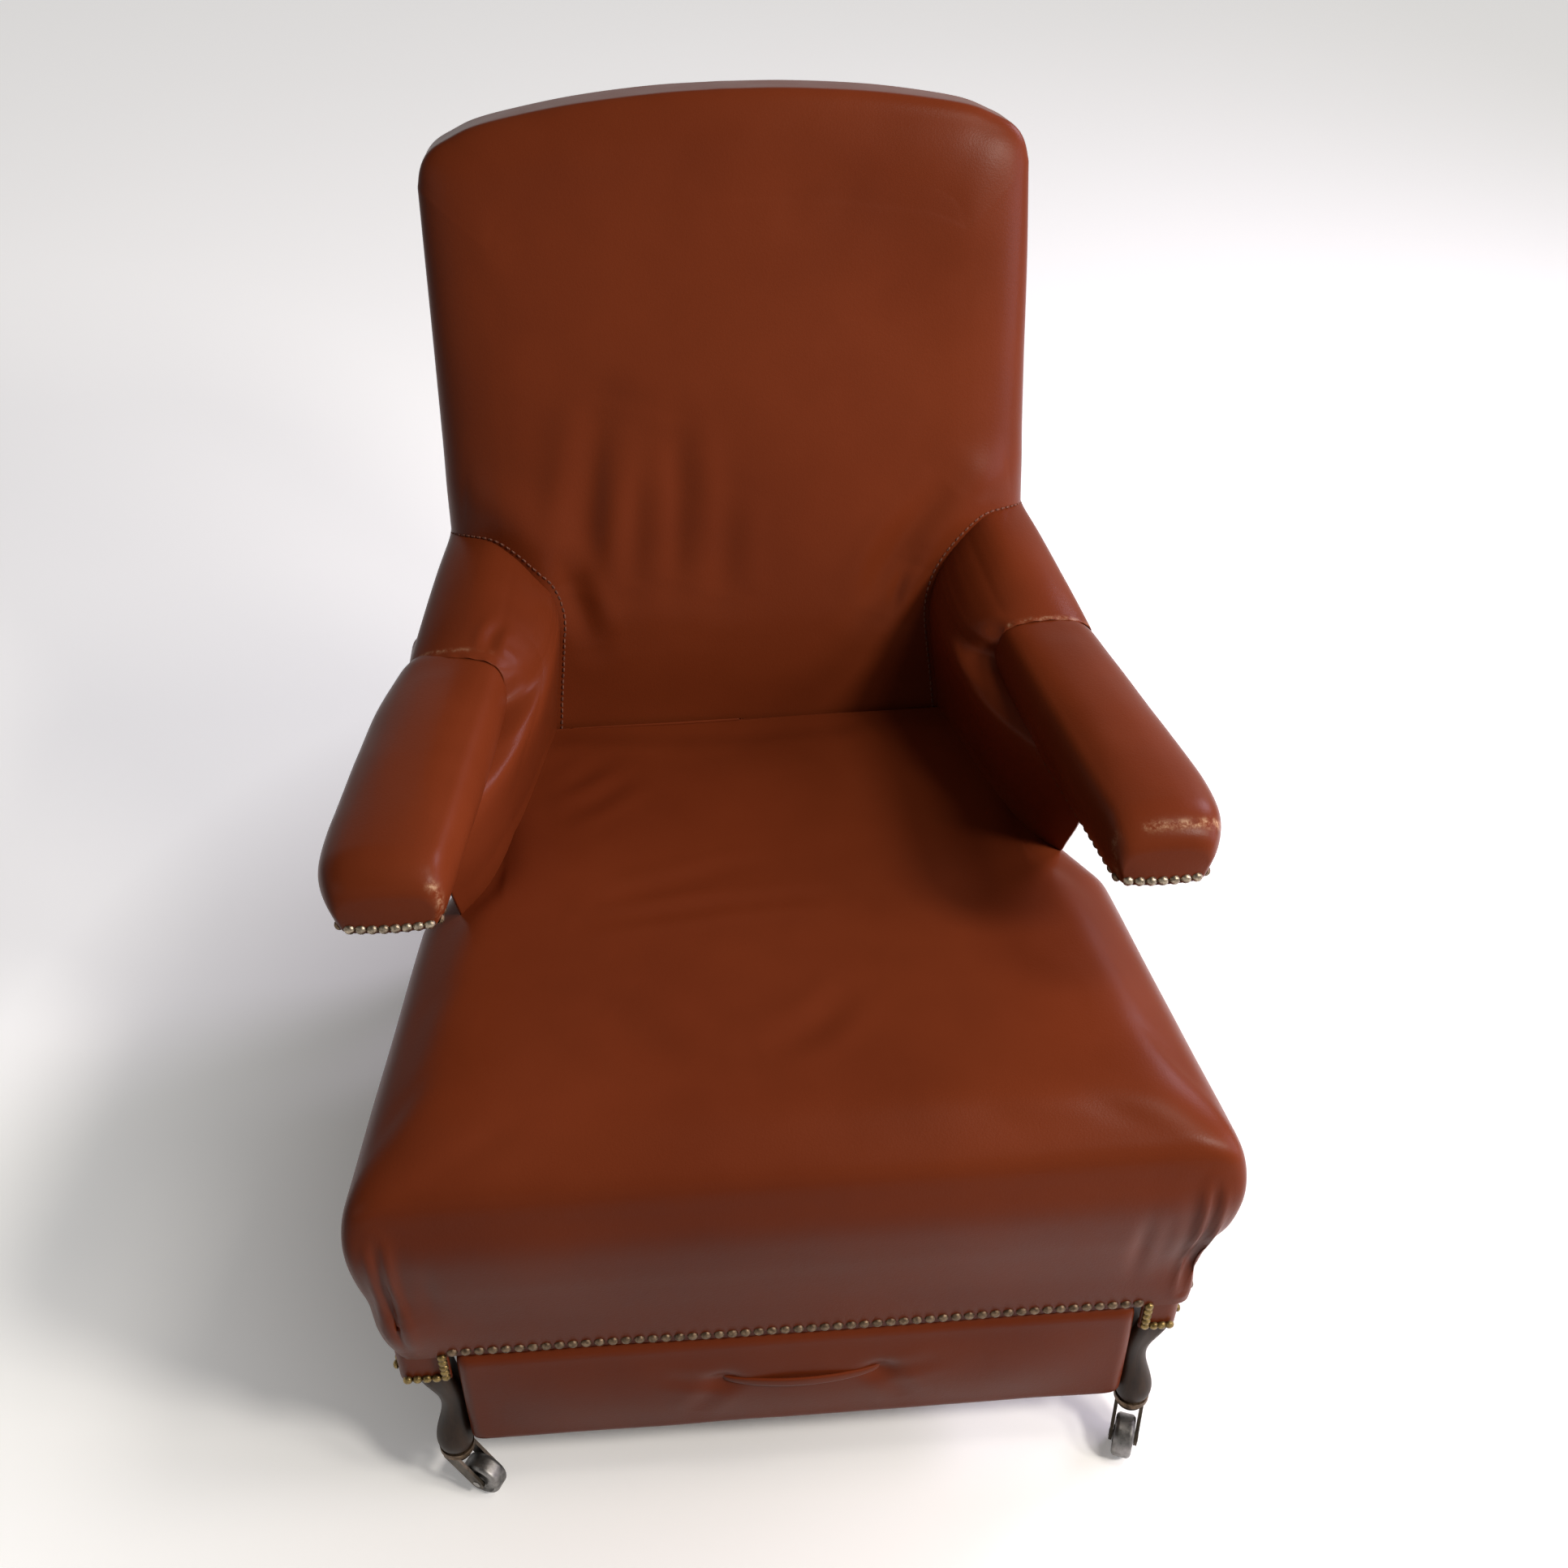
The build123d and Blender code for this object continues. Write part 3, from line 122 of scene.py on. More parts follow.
# Arms: inner and outer lower edges, what each side adds outside, underside and top, by depth
ARM_FRONT = 149.0
ARM_HEM = 462.0
ARM_TUCK = 505.0
ARM_ROLL = (40.0, 30.0)
ARM_IN = [(149, 270), (200, 262.5), (462, 228)]
ARM_OUT = [(149, 350), (185, 357), (225, 355.5), (260, 350.5), (300, 343), (350, 333.5), (400, 324),
           (462, 311)]
ARM_EXTRA = {"left": [(149, 0), (250, 0), (330, 5), (400, 7), (462, 4), (505, 2)],
             "right": [(149, -7), (220, -6), (300, -5), (400, -3), (462, 0), (505, 0)]}
ARM_LOW = [(149, 584), (462, 543.2)]
ARM_HIGH = [(149, 645), (462, 615)]
ARM_SECTION = [(0.11, 0.0), (0.02, 0.0), (-0.03, 0.16), (-0.07, 0.42), (-0.055, 0.66), (0.02, 0.86),
               (0.14, 0.95), (0.32, 0.99), (0.52, 1.0), (0.72, 0.985), (0.90, 0.93), (1.03, 0.80),
               (1.085, 0.58), (1.065, 0.34), (1.0, 0.0), (0.9, 0.0)]
ARM_POINTS = 84

# Footrest front with its strap
PANEL_HALF = 296.5
PANEL_LOW = 74.0
PANEL_HIGH = 211.0
PANEL_BACK = 12.0
PANEL_FACE = -6.0
PANEL_GRID = (120, 30)
STRAP_ENDS = (-67.0, 72.0)
STRAP_HEIGHT = 154.0
STRAP_WIDE = 11.0
STRAP_PROUD = 7.0
STRAP_HALF_THICK = 1.6
FOOT_PAD_GRID = (60, 60)

# Decorative nails and stitches
NAIL_PITCH = 11.5
NAIL_RADIUS = 4.7
SMALL_NAIL_RADIUS = 4.2
NAIL_SIDES = 12
NAIL_ROW = 220.0
TAB_NAIL_ROW = 183.0
STITCH_PITCH = 6.5
STITCH_SIDES = 7

# Stuffing: steps of the cloth simulation, rounds of evening, and how far each cover may swell
CLOTH_STEPS = 20
EVENING_ROUNDS = 14
PAD_SWELL = 7.0
ARM_SWELL = 3.0
PAD_PRESSURE = 4.0
ARM_PRESSURE = 2.0

# Looks: reflection and roughness of the leather, and the floor's glow by distance in metres
LEATHER_SHEEN = 0.09
LEATHER_ROUGH = (0.27, 0.39)
FLOOR_GLOW = 0.5
GLOW_FROM = 0.25
GLOW_FULL = 0.9
STUDIO_PROFILE = [(0.01, 0.0), (4.0, 0.0), (10.0, 0.0), (11.5, 0.15), (12.6, 0.7), (13.3, 1.7),
                  (13.6, 3.0), (13.6, 8.0)]
STUDIO_TURNS = 73
WORLD_COLOUR = (1.0, 0.95, 0.88, 1.0)
WORLD_STRENGTH = 0.16

# Camera at the photograph's viewing angle: place in millimetres, angles in degrees
CAMERA_PLACE = (-86.0, -892.0, 1649.0)
CAMERA_TURN = (3.47, 41.43, 1.09)
CAMERA_LENS = 42.99
CAMERA_SHIFT = (0.0212, -0.0078)


# Shape helpers
def metres(points):
    """Millimetre points in depth coordinates, as metres in the shared frame."""
    p = np.array(points, float)
    p[..., 1] -= ORIGIN_DEPTH
    return p * MM


def millimetres(co):
    p = co / MM
    p[..., 1] += ORIGIN_DEPTH
    return p


def smooth_line(points, count):
    """A smooth curve through points, sampled evenly along their numbering."""
    p = np.array(points, float)
    p = np.vstack([2 * p[0] - p[1], p, 2 * p[-1] - p[-2]])
    t = np.linspace(0, len(p) - 3, count)
    i = np.minimum(t.astype(int), len(p) - 4)
    f = (t - i)[:, None]
    a, b, c, d = p[i], p[i + 1], p[i + 2], p[i + 3]
    return 0.5 * (2 * b + (c - a) * f + (2 * a - 5 * b + 4 * c - d) * f ** 2
                  + (3 * b - a - 3 * c + d) * f ** 3)


def resampled(path, count):
    """Points spaced evenly along a polyline."""
    along = np.concatenate([[0], np.cumsum(np.linalg.norm(np.diff(path, axis=0), axis=1))])
    want = np.linspace(0, along[-1], count)
    return np.stack([np.interp(want, along, path[:, k]) for k in range(path.shape[1])], axis=1)


def even_line(points, count):
    """A smooth curve through points, sampled evenly along its length."""
    return resampled(smooth_line(points, 40 * len(points)), count)


def rounded_path(corners, radii, fine=12):
    """A polyline with its inner corners rounded, and the number of each corner's middle point."""
    c = [np.array(p, float) for p in corners]
    path = [c[0]]
    middles = []
    for k in range(1, len(c) - 1):
        before = (c[k] - c[k - 1]) / np.linalg.norm(c[k] - c[k - 1])
        after = (c[k + 1] - c[k]) / np.linalg.norm(c[k + 1] - c[k])
        turn = math.acos(max(-1.0, min(1.0, float(before @ after))))
        reach = radii[k - 1] * math.tan(turn / 2)
        enter, leave = c[k] - before * reach, c[k] + after * reach
        middles.append(len(path) + fine // 2)
        for t in np.linspace(0, 1, fine + 1):
            path.append((1 - t) ** 2 * enter + 2 * t * (1 - t) * c[k] + t ** 2 * leave)
    path.append(c[-1])
    return np.array(path), middles


def mirrored_ring(half, first, second, grid):
    """A closed ring from its right half: near, right, far and left edge, from the near left corner."""
    wide, long = grid
    near = resampled(half[:first + 1], wide // 2 + 1)
    side = resampled(half[first:second + 1], long + 1)
    far = resampled(half[second:], wide // 2 + 1)
    right = np.vstack([near, side[1:], far[1:]])
    ring = np.vstack([right, right[::-1][1:-1] * (-1, 1)])
    return np.roll(ring, wide // 2, axis=0)


def filled(ring, grid):
    """A grid of points inside a closed ring, blended from its four edges."""
    wide, long = grid
    near = ring[:wide + 1]
    right = ring[wide:wide + long + 1]
    far = ring[wide + long:2 * wide + long + 1][::-1]
    left = np.vstack([ring[2 * wide + long:], ring[:1]])[::-1]
    u = np.linspace(0, 1, wide + 1)[None, :, None]
    v = np.linspace(0, 1, long + 1)[:, None, None]
    corners = ((1 - u) * (1 - v) * near[0] + u * (1 - v) * near[-1] + (1 - u) * v * far[0] + u * v * far[-1])
    return ((1 - v) * near[None] + v * far[None] + (1 - u) * left[:, None] + u * right[:, None] - corners)


def mesh_piece(name, verts, faces):
    """A new smooth mesh object from metre points."""
    mesh = bpy.data.meshes.new(name)
    mesh.from_pydata([tuple(v) for v in verts], [], faces)
    mesh.validate()
    mesh.polygons.foreach_set("use_smooth", [True] * len(mesh.polygons))
    piece = bpy.data.objects.new(name, mesh)
    bpy.context.scene.collection.objects.link(piece)
    return piece


def wall_faces(rows, columns, closed):
    """Quads between rows of points; closed joins the last column to the first."""
    faces = []
    for i in range(rows - 1):
        for j in range(columns if closed else columns - 1):
            k = (j + 1) % columns
            faces.append((i * columns + j, i * columns + k, (i + 1) * columns + k, (i + 1) * columns + j))
    return faces


def cap_faces(grid, ring_start, inner_start):
    """Quads of a filled ring, whose border is the ring itself."""
    wide, long = grid
    index = np.empty((long + 1, wide + 1), int)
    index[0, :] = np.arange(wide + 1)
    index[:, wide] = wide + np.arange(long + 1)
    index[long, ::-1] = wide + long + np.arange(wide + 1)
    index[1:long, 0] = (2 * wide + long + np.arange(long + 1))[::-1][1:long]
    index += ring_start
    index[1:long, 1:wide] = inner_start + np.arange((long - 1) * (wide - 1)).reshape(long - 1, wide - 1)
    return [(index[i, j], index[i, j + 1], index[i + 1, j + 1], index[i + 1, j])
            for i in range(long) for j in range(wide)]


def cover(name, rings, grid, first=None, last=None):
    """A skin through closed rings; first and last are grids of points that fill its end rings."""
    rows, columns = rings.shape[:2]
    verts = [rings.reshape(-1, 3)]
    faces = wall_faces(rows, columns, True)
    count = rows * columns
    for points, start, flip in ((last, (rows - 1) * columns, False), (first, 0, True)):
        if points is None:
            continue
        inner = points[1:-1, 1:-1].reshape(-1, 3)
        added = cap_faces(grid, start, count)
        faces += [f[::-1] for f in added] if flip else added
        verts.append(inner)
        count += len(inner)
    return mesh_piece(name, metres(np.vstack(verts)), [tuple(int(i) for i in f) for f in faces])


def sheet(name, grid, centre):
    """An open skin through rows of points, facing away from a centre."""
    rows, columns = grid.shape[:2]
    piece = mesh_piece(name, metres(grid).reshape(-1, 3), wall_faces(rows, columns, False))
    middle = Vector(metres(centre))
    facing = sum(p.normal.dot(p.center - middle) * p.area for p in piece.data.polygons)
    if facing < 0:
        piece.data.flip_normals()
    return piece


def facing_side(sign):
    """Factors that turn right-side points into those of a side."""
    return np.array([sign, 1, 1])


def crown(grid, power=1.0):
    """Heights of a cushion's crown over a grid: 1 in the middle, 0 along the edges."""
    u = np.linspace(-1, 1, grid[0] + 1)[None, :]
    v = np.linspace(-1, 1, grid[1] + 1)[:, None]
    return (1 - u ** 2) ** power * (1 - v ** 2) ** power


def quarter_turn(start, count):
    """Angles of a rolled edge, from a share of a right angle to all of it."""
    return math.pi / 2 * np.linspace(start, 1, count)


def join(name, pieces):
    """Several mesh pieces as one object."""
    verts, faces = [], []
    for piece in pieces:
        start = len(verts)
        verts.extend(tuple(v.co) for v in piece.data.vertices)
        faces.extend(tuple(start + i for i in p.vertices) for p in piece.data.polygons)
        bpy.data.objects.remove(piece)
    return mesh_piece(name, verts, faces)


def vectors(rows, key):
    """One vector for each row of a mesh's list."""
    values = np.empty(3 * len(rows))
    rows.foreach_get(key, values)
    return values.reshape(-1, 3)


def points_of(piece):
    return vectors(piece.data.vertices, "co")


def normals_of(piece):
    return vectors(piece.data.vertex_normals, "vector")


def place_points(piece, co):
    piece.data.vertices.foreach_set("co", np.ascontiguousarray(co, dtype=float).ravel())
    piece.data.update()


def shifted(piece, move):
    """Moves a piece's points along their normals by millimetres."""
    place_points(piece, points_of(piece) + normals_of(piece) * (move * MM)[:, None])


def subdivided(piece):
    """Replaces a piece's mesh by a once subdivided one."""
    modifier = piece.modifiers.new("finer", "SUBSURF")
    modifier.levels = 1
    graph = bpy.context.evaluated_depsgraph_get()
    finer = bpy.data.meshes.new_from_object(piece.evaluated_get(graph))
    piece.modifiers.remove(modifier)
    piece.data = finer
    finer.polygons.foreach_set("use_smooth", [True] * len(finer.polygons))


def spread(piece, values, rounds):
    """Values of a piece's points, evened out along its edges."""
    mesh = piece.data
    ends = np.empty(2 * len(mesh.edges), dtype=int)
    mesh.edges.foreach_get("vertices", ends)
    a, b = ends[::2], ends[1::2]
    count = np.bincount(ends, minlength=len(values))
    for _ in range(rounds):
        total = np.bincount(a, values[b], len(values)) + np.bincount(b, values[a], len(values))
        values = 0.5 * values + 0.5 * total / np.maximum(count, 1)
    return values


def eased(value):
    value = np.clip(value, 0, 1)
    return value * value * (3 - 2 * value)


def stuffed(piece, held, cap, share, pressure=PAD_PRESSURE):
    """Swells a pad by a cloth simulation: held points stay, none moves inwards or further than the cap."""
    scene = bpy.context.scene
    start = points_of(piece)
    pins = piece.vertex_groups.new(name="held")
    pins.add([int(i) for i in np.nonzero(held)[0]], 1.0, "REPLACE")
    cloth = piece.modifiers.new("stuffing", "CLOTH")
    cloth.settings.quality = 5
    cloth.settings.mass = 0.3
    cloth.settings.use_pressure = True
    cloth.settings.uniform_pressure_force = pressure
    cloth.settings.vertex_group_mass = "held"
    cloth.settings.effector_weights.gravity = 0.0
    cloth.collision_settings.use_collision = False
    for step in range(1, CLOTH_STEPS + 1):
        scene.frame_set(step)
    graph = bpy.context.evaluated_depsgraph_get()
    swollen = piece.evaluated_get(graph).to_mesh()
    move = vectors(swollen.vertices, "co") - start
    piece.modifiers.remove(cloth)
    piece.vertex_groups.clear()
    scene.frame_set(1)
    facing = normals_of(piece)
    rise = spread(piece, np.clip((move * facing).sum(axis=1), 0, cap * MM), EVENING_ROUNDS)
    place_points(piece, start + facing * (share * rise)[:, None])


def line_distance(piece, points):
    """Distance in millimetres of each point of a piece to a curve, and how far along the curve it is."""
    co = millimetres(points_of(piece))
    line = even_line(points, 8 * len(points))
    best = np.full(len(co), 1e9)
    where = np.zeros(len(co))
    for k in range(len(line) - 1):
        run = line[k + 1] - line[k]
        t = np.clip(((co - line[k]) @ run) / (run @ run), 0, 1)
        d = np.linalg.norm(co - (line[k] + t[:, None] * run), axis=1)
        nearer = d < best
        best[nearer] = d[nearer]
        where[nearer] = (k + t[nearer]) / (len(line) - 1)
    return best, where


def crease(piece, points, deep, wide, lip=0.45):
    """Presses a soft fold along a curve, with raised lips; a negative depth raises a ridge."""
    d, where = line_distance(piece, points)
    r = d / wide
    fade = np.sin(math.pi * np.clip(where, 0.03, 0.97)) ** 0.7
    shifted(piece, (-np.exp(-r ** 2) + lip * np.exp(-((r - 1.9) / 0.9) ** 2)) * fade * deep)


def bulge(piece, centre, radius, high):
    """Swells or dents a piece round a point."""
    r = np.linalg.norm((millimetres(points_of(piece)) - np.array(centre)) / np.array(radius), axis=1)
    shifted(piece, np.exp(-r ** 2) * high)


def ripple(piece, size, high):
    """Slow unevenness of hand stuffing."""
    shifted(piece, np.array([noise.noise(Vector(p) / (size * MM)) for p in points_of(piece)]) * high)


def wear_and_highlight(piece, points, reach, strength):
    """Marks paler leather along a curve for the leather material: worn edges, partly a painted highlight."""
    mesh = piece.data
    layer = mesh.attributes.get("wear_and_highlight")
    if layer is None:
        layer = mesh.attributes.new("wear_and_highlight", "FLOAT", "POINT")
    # Paler leather strength: worn leather, and on the arm edges partly a painted highlight
    worn_and_lit = np.empty(len(mesh.vertices))
    layer.data.foreach_get("value", worn_and_lit)
    d, _ = line_distance(piece, points)
    worn_and_lit = np.maximum(worn_and_lit, strength * np.exp(-(d / reach) ** 2))
    mesh.attributes["wear_and_highlight"].data.foreach_set("value", worn_and_lit)


# Seat cover: cushion, rolled edge and apron in one leather skin
def seat_ring(height, inset):
    """Plan of the seat cover at one level of its profile."""
    cushion = min(1.0, max(0.0, (height - CUSHION_FROM) / CUSHION_BLEND))
    rolled = inset if height > SEAT_SWELL_AT else 0.0
    front = SEAT_CORNER[1] + (inset if rolled else FRONT_SHARE * inset)
    front += FRONT_ROUND * math.exp(-((height - FRONT_ROUND_AT) / FRONT_ROUND_SPAN) ** 2)

    def between(low, high, ease):
        place = np.array(low) + (np.array(high) - np.array(low)) * cushion
        return place - np.array(ease) * rolled

    corners = [(0, front), (SEAT_CORNER[0] - inset, front),
               between(APRON_SHOULDER, SEAT_SHOULDER, (0.9, 0.4)),
               between(APRON_NECK, SEAT_NECK, (0.45, 0.45)),
               between(APRON_REAR, SEAT_REAR, (0.45, 0.0)), (0, SEAT_REAR[1])]
    half, middles = rounded_path(corners, [SEAT_RADII[0] + 0.6 * rolled, *SEAT_RADII[1:]])
    ring = mirrored_ring(half, middles[0], middles[3], SEAT_GRID)
    return np.column_stack([ring, np.full(len(ring), height)])


def seat_cover():
    profile = even_line(SEAT_PROFILE, 50)
    rings = np.array([seat_ring(z, inset) for z, inset in profile])
    top = filled(rings[-1], SEAT_GRID)
    top[:, :, 2] += SEAT_CROWN * crown(SEAT_GRID)
    piece = cover("seat_cover", rings, SEAT_GRID, last=top)
    height = millimetres(points_of(piece))[:, 2]
    stuffed(piece, height < 330, PAD_SWELL, eased((height - 340) / 90))
    subdivided(piece)
    ripple(piece, 130, 1.6)
    for line, deep, wide in SEAT_FOLDS:
        crease(piece, [(x, depth, SEAT_TOP) for x, depth in line], deep, wide)
    for side in (-1, 1):
        flip = facing_side(side)
        crease(piece, np.array(CORNER_PLEAT) * flip, 4.0, 4.0, 0.7)
        crease(piece, np.array(CORNER_FOLD) * flip, 1.6, 8)
        bulge(piece, (side * 306, -12, 330), (9, 30, 42), -2.0)
        bulge(piece, (side * 352, -6, 300), (9, 26, 60), -3.0)
    bulge(piece, (-352, 4, 262), (45, 60, 42), 8.0)
    bulge(piece, (352, 4, 276), (45, 60, 36), -8.0)
    bulge(piece, (286, -13, 318), (8, 30, 40), -2.6)
    bulge(piece, (0, 500, 452), (230, 40, 40), -5.0)
    return piece


CORNER_PLEAT = [(337, -15, 404), (338, -13, 350), (336, -9, 290), (334, -4, 230)]
CORNER_FOLD = [(320, -15, 398), (323, -13, 350), (327, -8, 290)]
SEAT_FOLDS = [
    ([(-190, 407), (-157, 423), (-118, 455)], 1.7, 12),
    ([(-192, 440), (-170, 455), (-140, 486)], 1.0, 12),
    ([(-150, 288), (-85, 303), (-33, 316), (10, 321)], 1.3, 11),
    ([(-165, 264), (-94, 268), (-20, 273), (62, 276)], 1.9, 9),
    ([(-150, 160), (-118, 128), (-78, 100)], 1.3, 18),
    ([(-24, 112), (22, 128), (66, 170)], 1.8, 13),
    ([(20, 248), (60, 215), (95, 200)], 0.8, 16)]


# Tabs of the apron over the tops of the front legs
def leg_tab(side):
    inset = SEAT_PROFILE[0][1]
    half = TAB_HALF[side]
    front = SEAT_CORNER[1] + FRONT_SHARE * inset + TAB_PROUD
    corners = [(TAB_INNER, front + 3), (TAB_INNER, front), (half, front), (half - 6, LEG_BACK)]
    path, _ = rounded_path(corners, [2.5, 13])
    path = resampled(path, 40)
    rows = [np.column_stack([path, np.full(len(path), z)]) for z in np.linspace(TAB_BOTTOM, TAB_TOP, 14)]
    middle = np.array([half - TAB_INWARD, TAB_MIDDLE])
    under = rows[0].copy()
    under[:, :2] += (middle - under[:, :2]) * 0.14
    grid = np.array([under, *rows])
    grid[:, :, 0] *= side
    return sheet("leg_tab", grid, (side * (half - TAB_INWARD), TAB_MIDDLE, 208.0))


# Back cover: front pad, rolled edges and outside panel in one skin
def back_point(x, s, n):
    """A point of the back from its place along the lean and its distance in front of the frame's middle."""
    high = s >= 0
    up = np.where(high, math.sin(LEAN), -LOW_RUN[0])
    rise = np.where(high, math.cos(LEAN), -LOW_RUN[1])
    bend = np.clip((s + 60) / 120, 0, 1)
    out = -math.cos(LEAN) * bend + LOW_RUN[1] * (1 - bend)
    lift = math.sin(LEAN) * bend - LOW_RUN[0] * (1 - bend)
    depth = KNEE[0] + up * s + out * n
    height = KNEE[1] + rise * s + lift * n
    return np.stack([x, depth, height], axis=-1)


def face_distance(s):
    return FACE_AT_KNEE - FACE_FALL * np.maximum(s, 0)


def back_ring(inset):
    edge = smooth_line(BACK_EDGE, 240)
    half = np.vstack([[(0, BACK_FOOT)], edge])
    half[:, 0] *= 1 - inset / BACK_EDGE[0][0]
    half[:, 1] *= np.where(half[:, 1] > 0, 1 - inset / BACK_EDGE[-1][1], 1 - 0.15 * inset / BACK_ROLL)
    from_corner = np.abs(edge[:, 0] - BACK_CORNER) + (edge[:, 1] < 500) * 1e3
    return mirrored_ring(half, 1, int(np.argmin(from_corner)) + 1, BACK_GRID)


def back_cover():
    def ring_at(inset, place, roll=None):
        ring = back_ring(inset)
        n = np.full(len(ring), place)
        if roll is not None:
            n = FRAME_FRONT + (face_distance(ring[:, 1]) - FRAME_FRONT) * roll
        return back_point(ring[:, 0], ring[:, 1], n), ring

    rear, rear_ring = ring_at(4.0, BACK_REAR)
    rings = [rear]
    for inset, place in ((1.2, BACK_REAR), (0.3, BACK_REAR + 1.5), (0.0, BACK_REAR + 5), (0.0, -14), (0.0, 0),
                         (0.0, 12), (0.0, FRAME_FRONT)):
        rings.append(ring_at(inset, place)[0])
    for angle in quarter_turn(0.06, 18):
        points, ring = ring_at(BACK_ROLL * (1 - math.cos(angle)), 0, math.sin(angle))
        rings.append(points)
    flat = filled(ring, BACK_GRID)
    swell = BACK_CROWN * crown(BACK_GRID, 1.6)
    front = back_point(flat[..., 0], flat[..., 1], face_distance(flat[..., 1]) + swell)
    panel = filled(rear_ring, BACK_GRID)
    outside = back_point(panel[..., 0], panel[..., 1], np.full(panel.shape[:2], BACK_REAR - 0.8))
    piece = cover("back_cover", np.array(rings), BACK_GRID, first=outside, last=front)
    co = millimetres(points_of(piece))
    reach = (co[:, 1] - KNEE[0]) * math.cos(LEAN) - (co[:, 2] - KNEE[1]) * math.sin(LEAN)
    share = eased((-24 - reach) / 70) * eased((co[:, 2] - 420) / 80)
    stuffed(piece, (reach > -30) | (co[:, 2] < 420), PAD_SWELL, share)
    subdivided(piece)
    ripple(piece, 150, 1.6)
    for line, deep, wide in BACK_FOLDS:
        crease(piece, line, deep, wide)
    for side in (-1, 1):
        crease(piece, np.array(SHOULDER_RIDGE) * facing_side(side), -7.0, 26, 0.0)
    return piece


SHOULDER_RIDGE = [(262, 640, 668), (225, 612, 664), (190, 602, 628), (172, 590, 588)]
BACK_FOLDS = [
    ([(-158, 584, 578), (-146, 612, 655), (-120, 645, 760)], 4.6, 17),
    ([(-108, 584, 585), (-98, 607, 655), (-92, 640, 755)], 3.6, 14),
    ([(-66, 586, 590), (-60, 610, 665), (-64, 636, 745)], 4.2, 17),
    ([(-22, 582, 575), (-20, 598, 625), (-18, 614, 676)], 2.8, 16),
    ([(-182, 604, 634), (-164, 585, 582), (-148, 568, 530)], 3.6, 13),
    ([(206, 612, 668), (176, 602, 640), (146, 590, 604), (120, 574, 552)], 4.0, 15),
    ([(172, 594, 606), (152, 584, 577), (136, 573, 546)], 2.0, 8),
    ([(158, 588, 590), (150, 581, 570), (146, 575, 552)], 1.2, 5)]


# Side wings: the padded roots of the arms, from the seam on the back to the hem and down to the seat
def on_surface(piece, points, lift=0.0):
    """Millimetre points dropped onto the nearest place of a piece's surface."""
    tree = BVHTree.FromObject(piece, bpy.context.evaluated_depsgraph_get())
    placed = []
    for p in metres(points):
        spot, facing, _, _ = tree.find_nearest(Vector(p))
        placed.append(spot + facing * lift * MM)
    return millimetres(np.array(placed))


def wing_grid(back, flip, reach):
    across, along = 112, 64
    u = np.linspace(0, 1, across)
    v = np.linspace(0, 1, along)
    seam = on_surface(back, smooth_line(SEAM, across) * flip) * flip
    hem = smooth_line(HEM, across)
    grid = seam[None] + (hem - seam)[None] * v[:, None, None]
    foot = smooth_line(WING_FOOT, along)
    foot[:, 1] -= reach * np.clip((400 - foot[:, 1]) / 54, 0, 1)
    foot -= grid[:, -1]
    eave = smooth_line(WING_EAVE, along) - grid[:, 0]
    grid += (u ** 1.6)[None, :, None] * foot[:, None, :]
    grid += ((1 - u) ** 3)[None, :, None] * eave[:, None, :]
    inner = np.clip((u - 0.45) / 0.55, 0, 1)[None, :]
    pad = np.sin(math.pi * v)[:, None] ** 0.8 * np.sin(math.pi * np.clip(inner, 0, 0.92) / 0.92) ** 0.8
    grid[:, :, 0] -= 12 * pad
    grid[:, :, 1] -= 7 * pad
    grid[:, :, 2] += 7 * np.sin(math.pi * v)[:, None] * np.sin(math.pi * np.clip(u / 0.55, 0, 1))[None, :]
    puckers = 0.6 * np.sin(u * 120) * np.exp(-(u - 0.36) ** 2 / 0.04)
    grid[-1, :, 2] += puckers
    grid[-2, :, 2] += 0.5 * puckers
    sleeve = (np.clip((SLEEVE_SHARE - u) / 0.06, 0, 1))[:, None]
    ones = np.ones(across)
    centre = np.column_stack([SLEEVE_CENTRE[0] * ones, hem[:, 1], SLEEVE_CENTRE[1] * ones])
    inward = centre - grid[-1]
    inward /= np.maximum(np.linalg.norm(inward, axis=1), 1e-6)[:, None]
    lips = []
    for inside, behind in ((0.7, -1.0), (1.8, -0.8), (3.0, 1.5), (4.0, 8.0)):
        rolled = grid[-1] + inward * inside + np.array([0, behind, 0])
        turned = grid[-1] + np.array([0.5 * inside, 0.4 * inside, 0])
        lips.append(sleeve * rolled + (1 - sleeve) * turned)
    sunk = 5.0 * np.exp(-v * 22)[:, None, None] * np.array([0.25, 1.0, -0.1])
    grid = grid + sunk
    tucked = grid[0] + np.array([0.0, 9.0, 0.0])
    return np.vstack([tucked[None], grid, np.array(lips)])


def wing_flank(reach):
    """Leather side below the arm, inside the post."""
    rows = []
    for z in np.linspace(563, 432, 26):
        front = np.interp(z, [432, 446, 530, 574], [350, 344, 301, 313])
        front -= reach * np.clip((574 - z) / 130, 0, 1)
        rear = 550 + 0.3246 * (z - 448) + 26
        y = np.linspace(front, rear, 46)
        along = (y - front) / (rear - front)
        x = FLANK + 1.2 * np.sin(math.pi * along) - 2 * np.exp(-(y - front) / 8)
        x -= 34 * np.clip((along - 0.8) / 0.2, 0, 1) ** 2
        rows.append(np.column_stack([x, y, np.full(46, z)]))
    return np.array(rows)


def wing_underside():
    """Narrow strip that closes the sleeve from below."""
    eave = smooth_line(WING_EAVE, 40)
    inside = eave.copy()
    inside[:, 0] = np.minimum(FLANK, eave[:, 0] - 2)
    inside[:, 2] += 7
    return np.array([eave + (inside - eave) * t for t in np.linspace(0, 1, 5)])


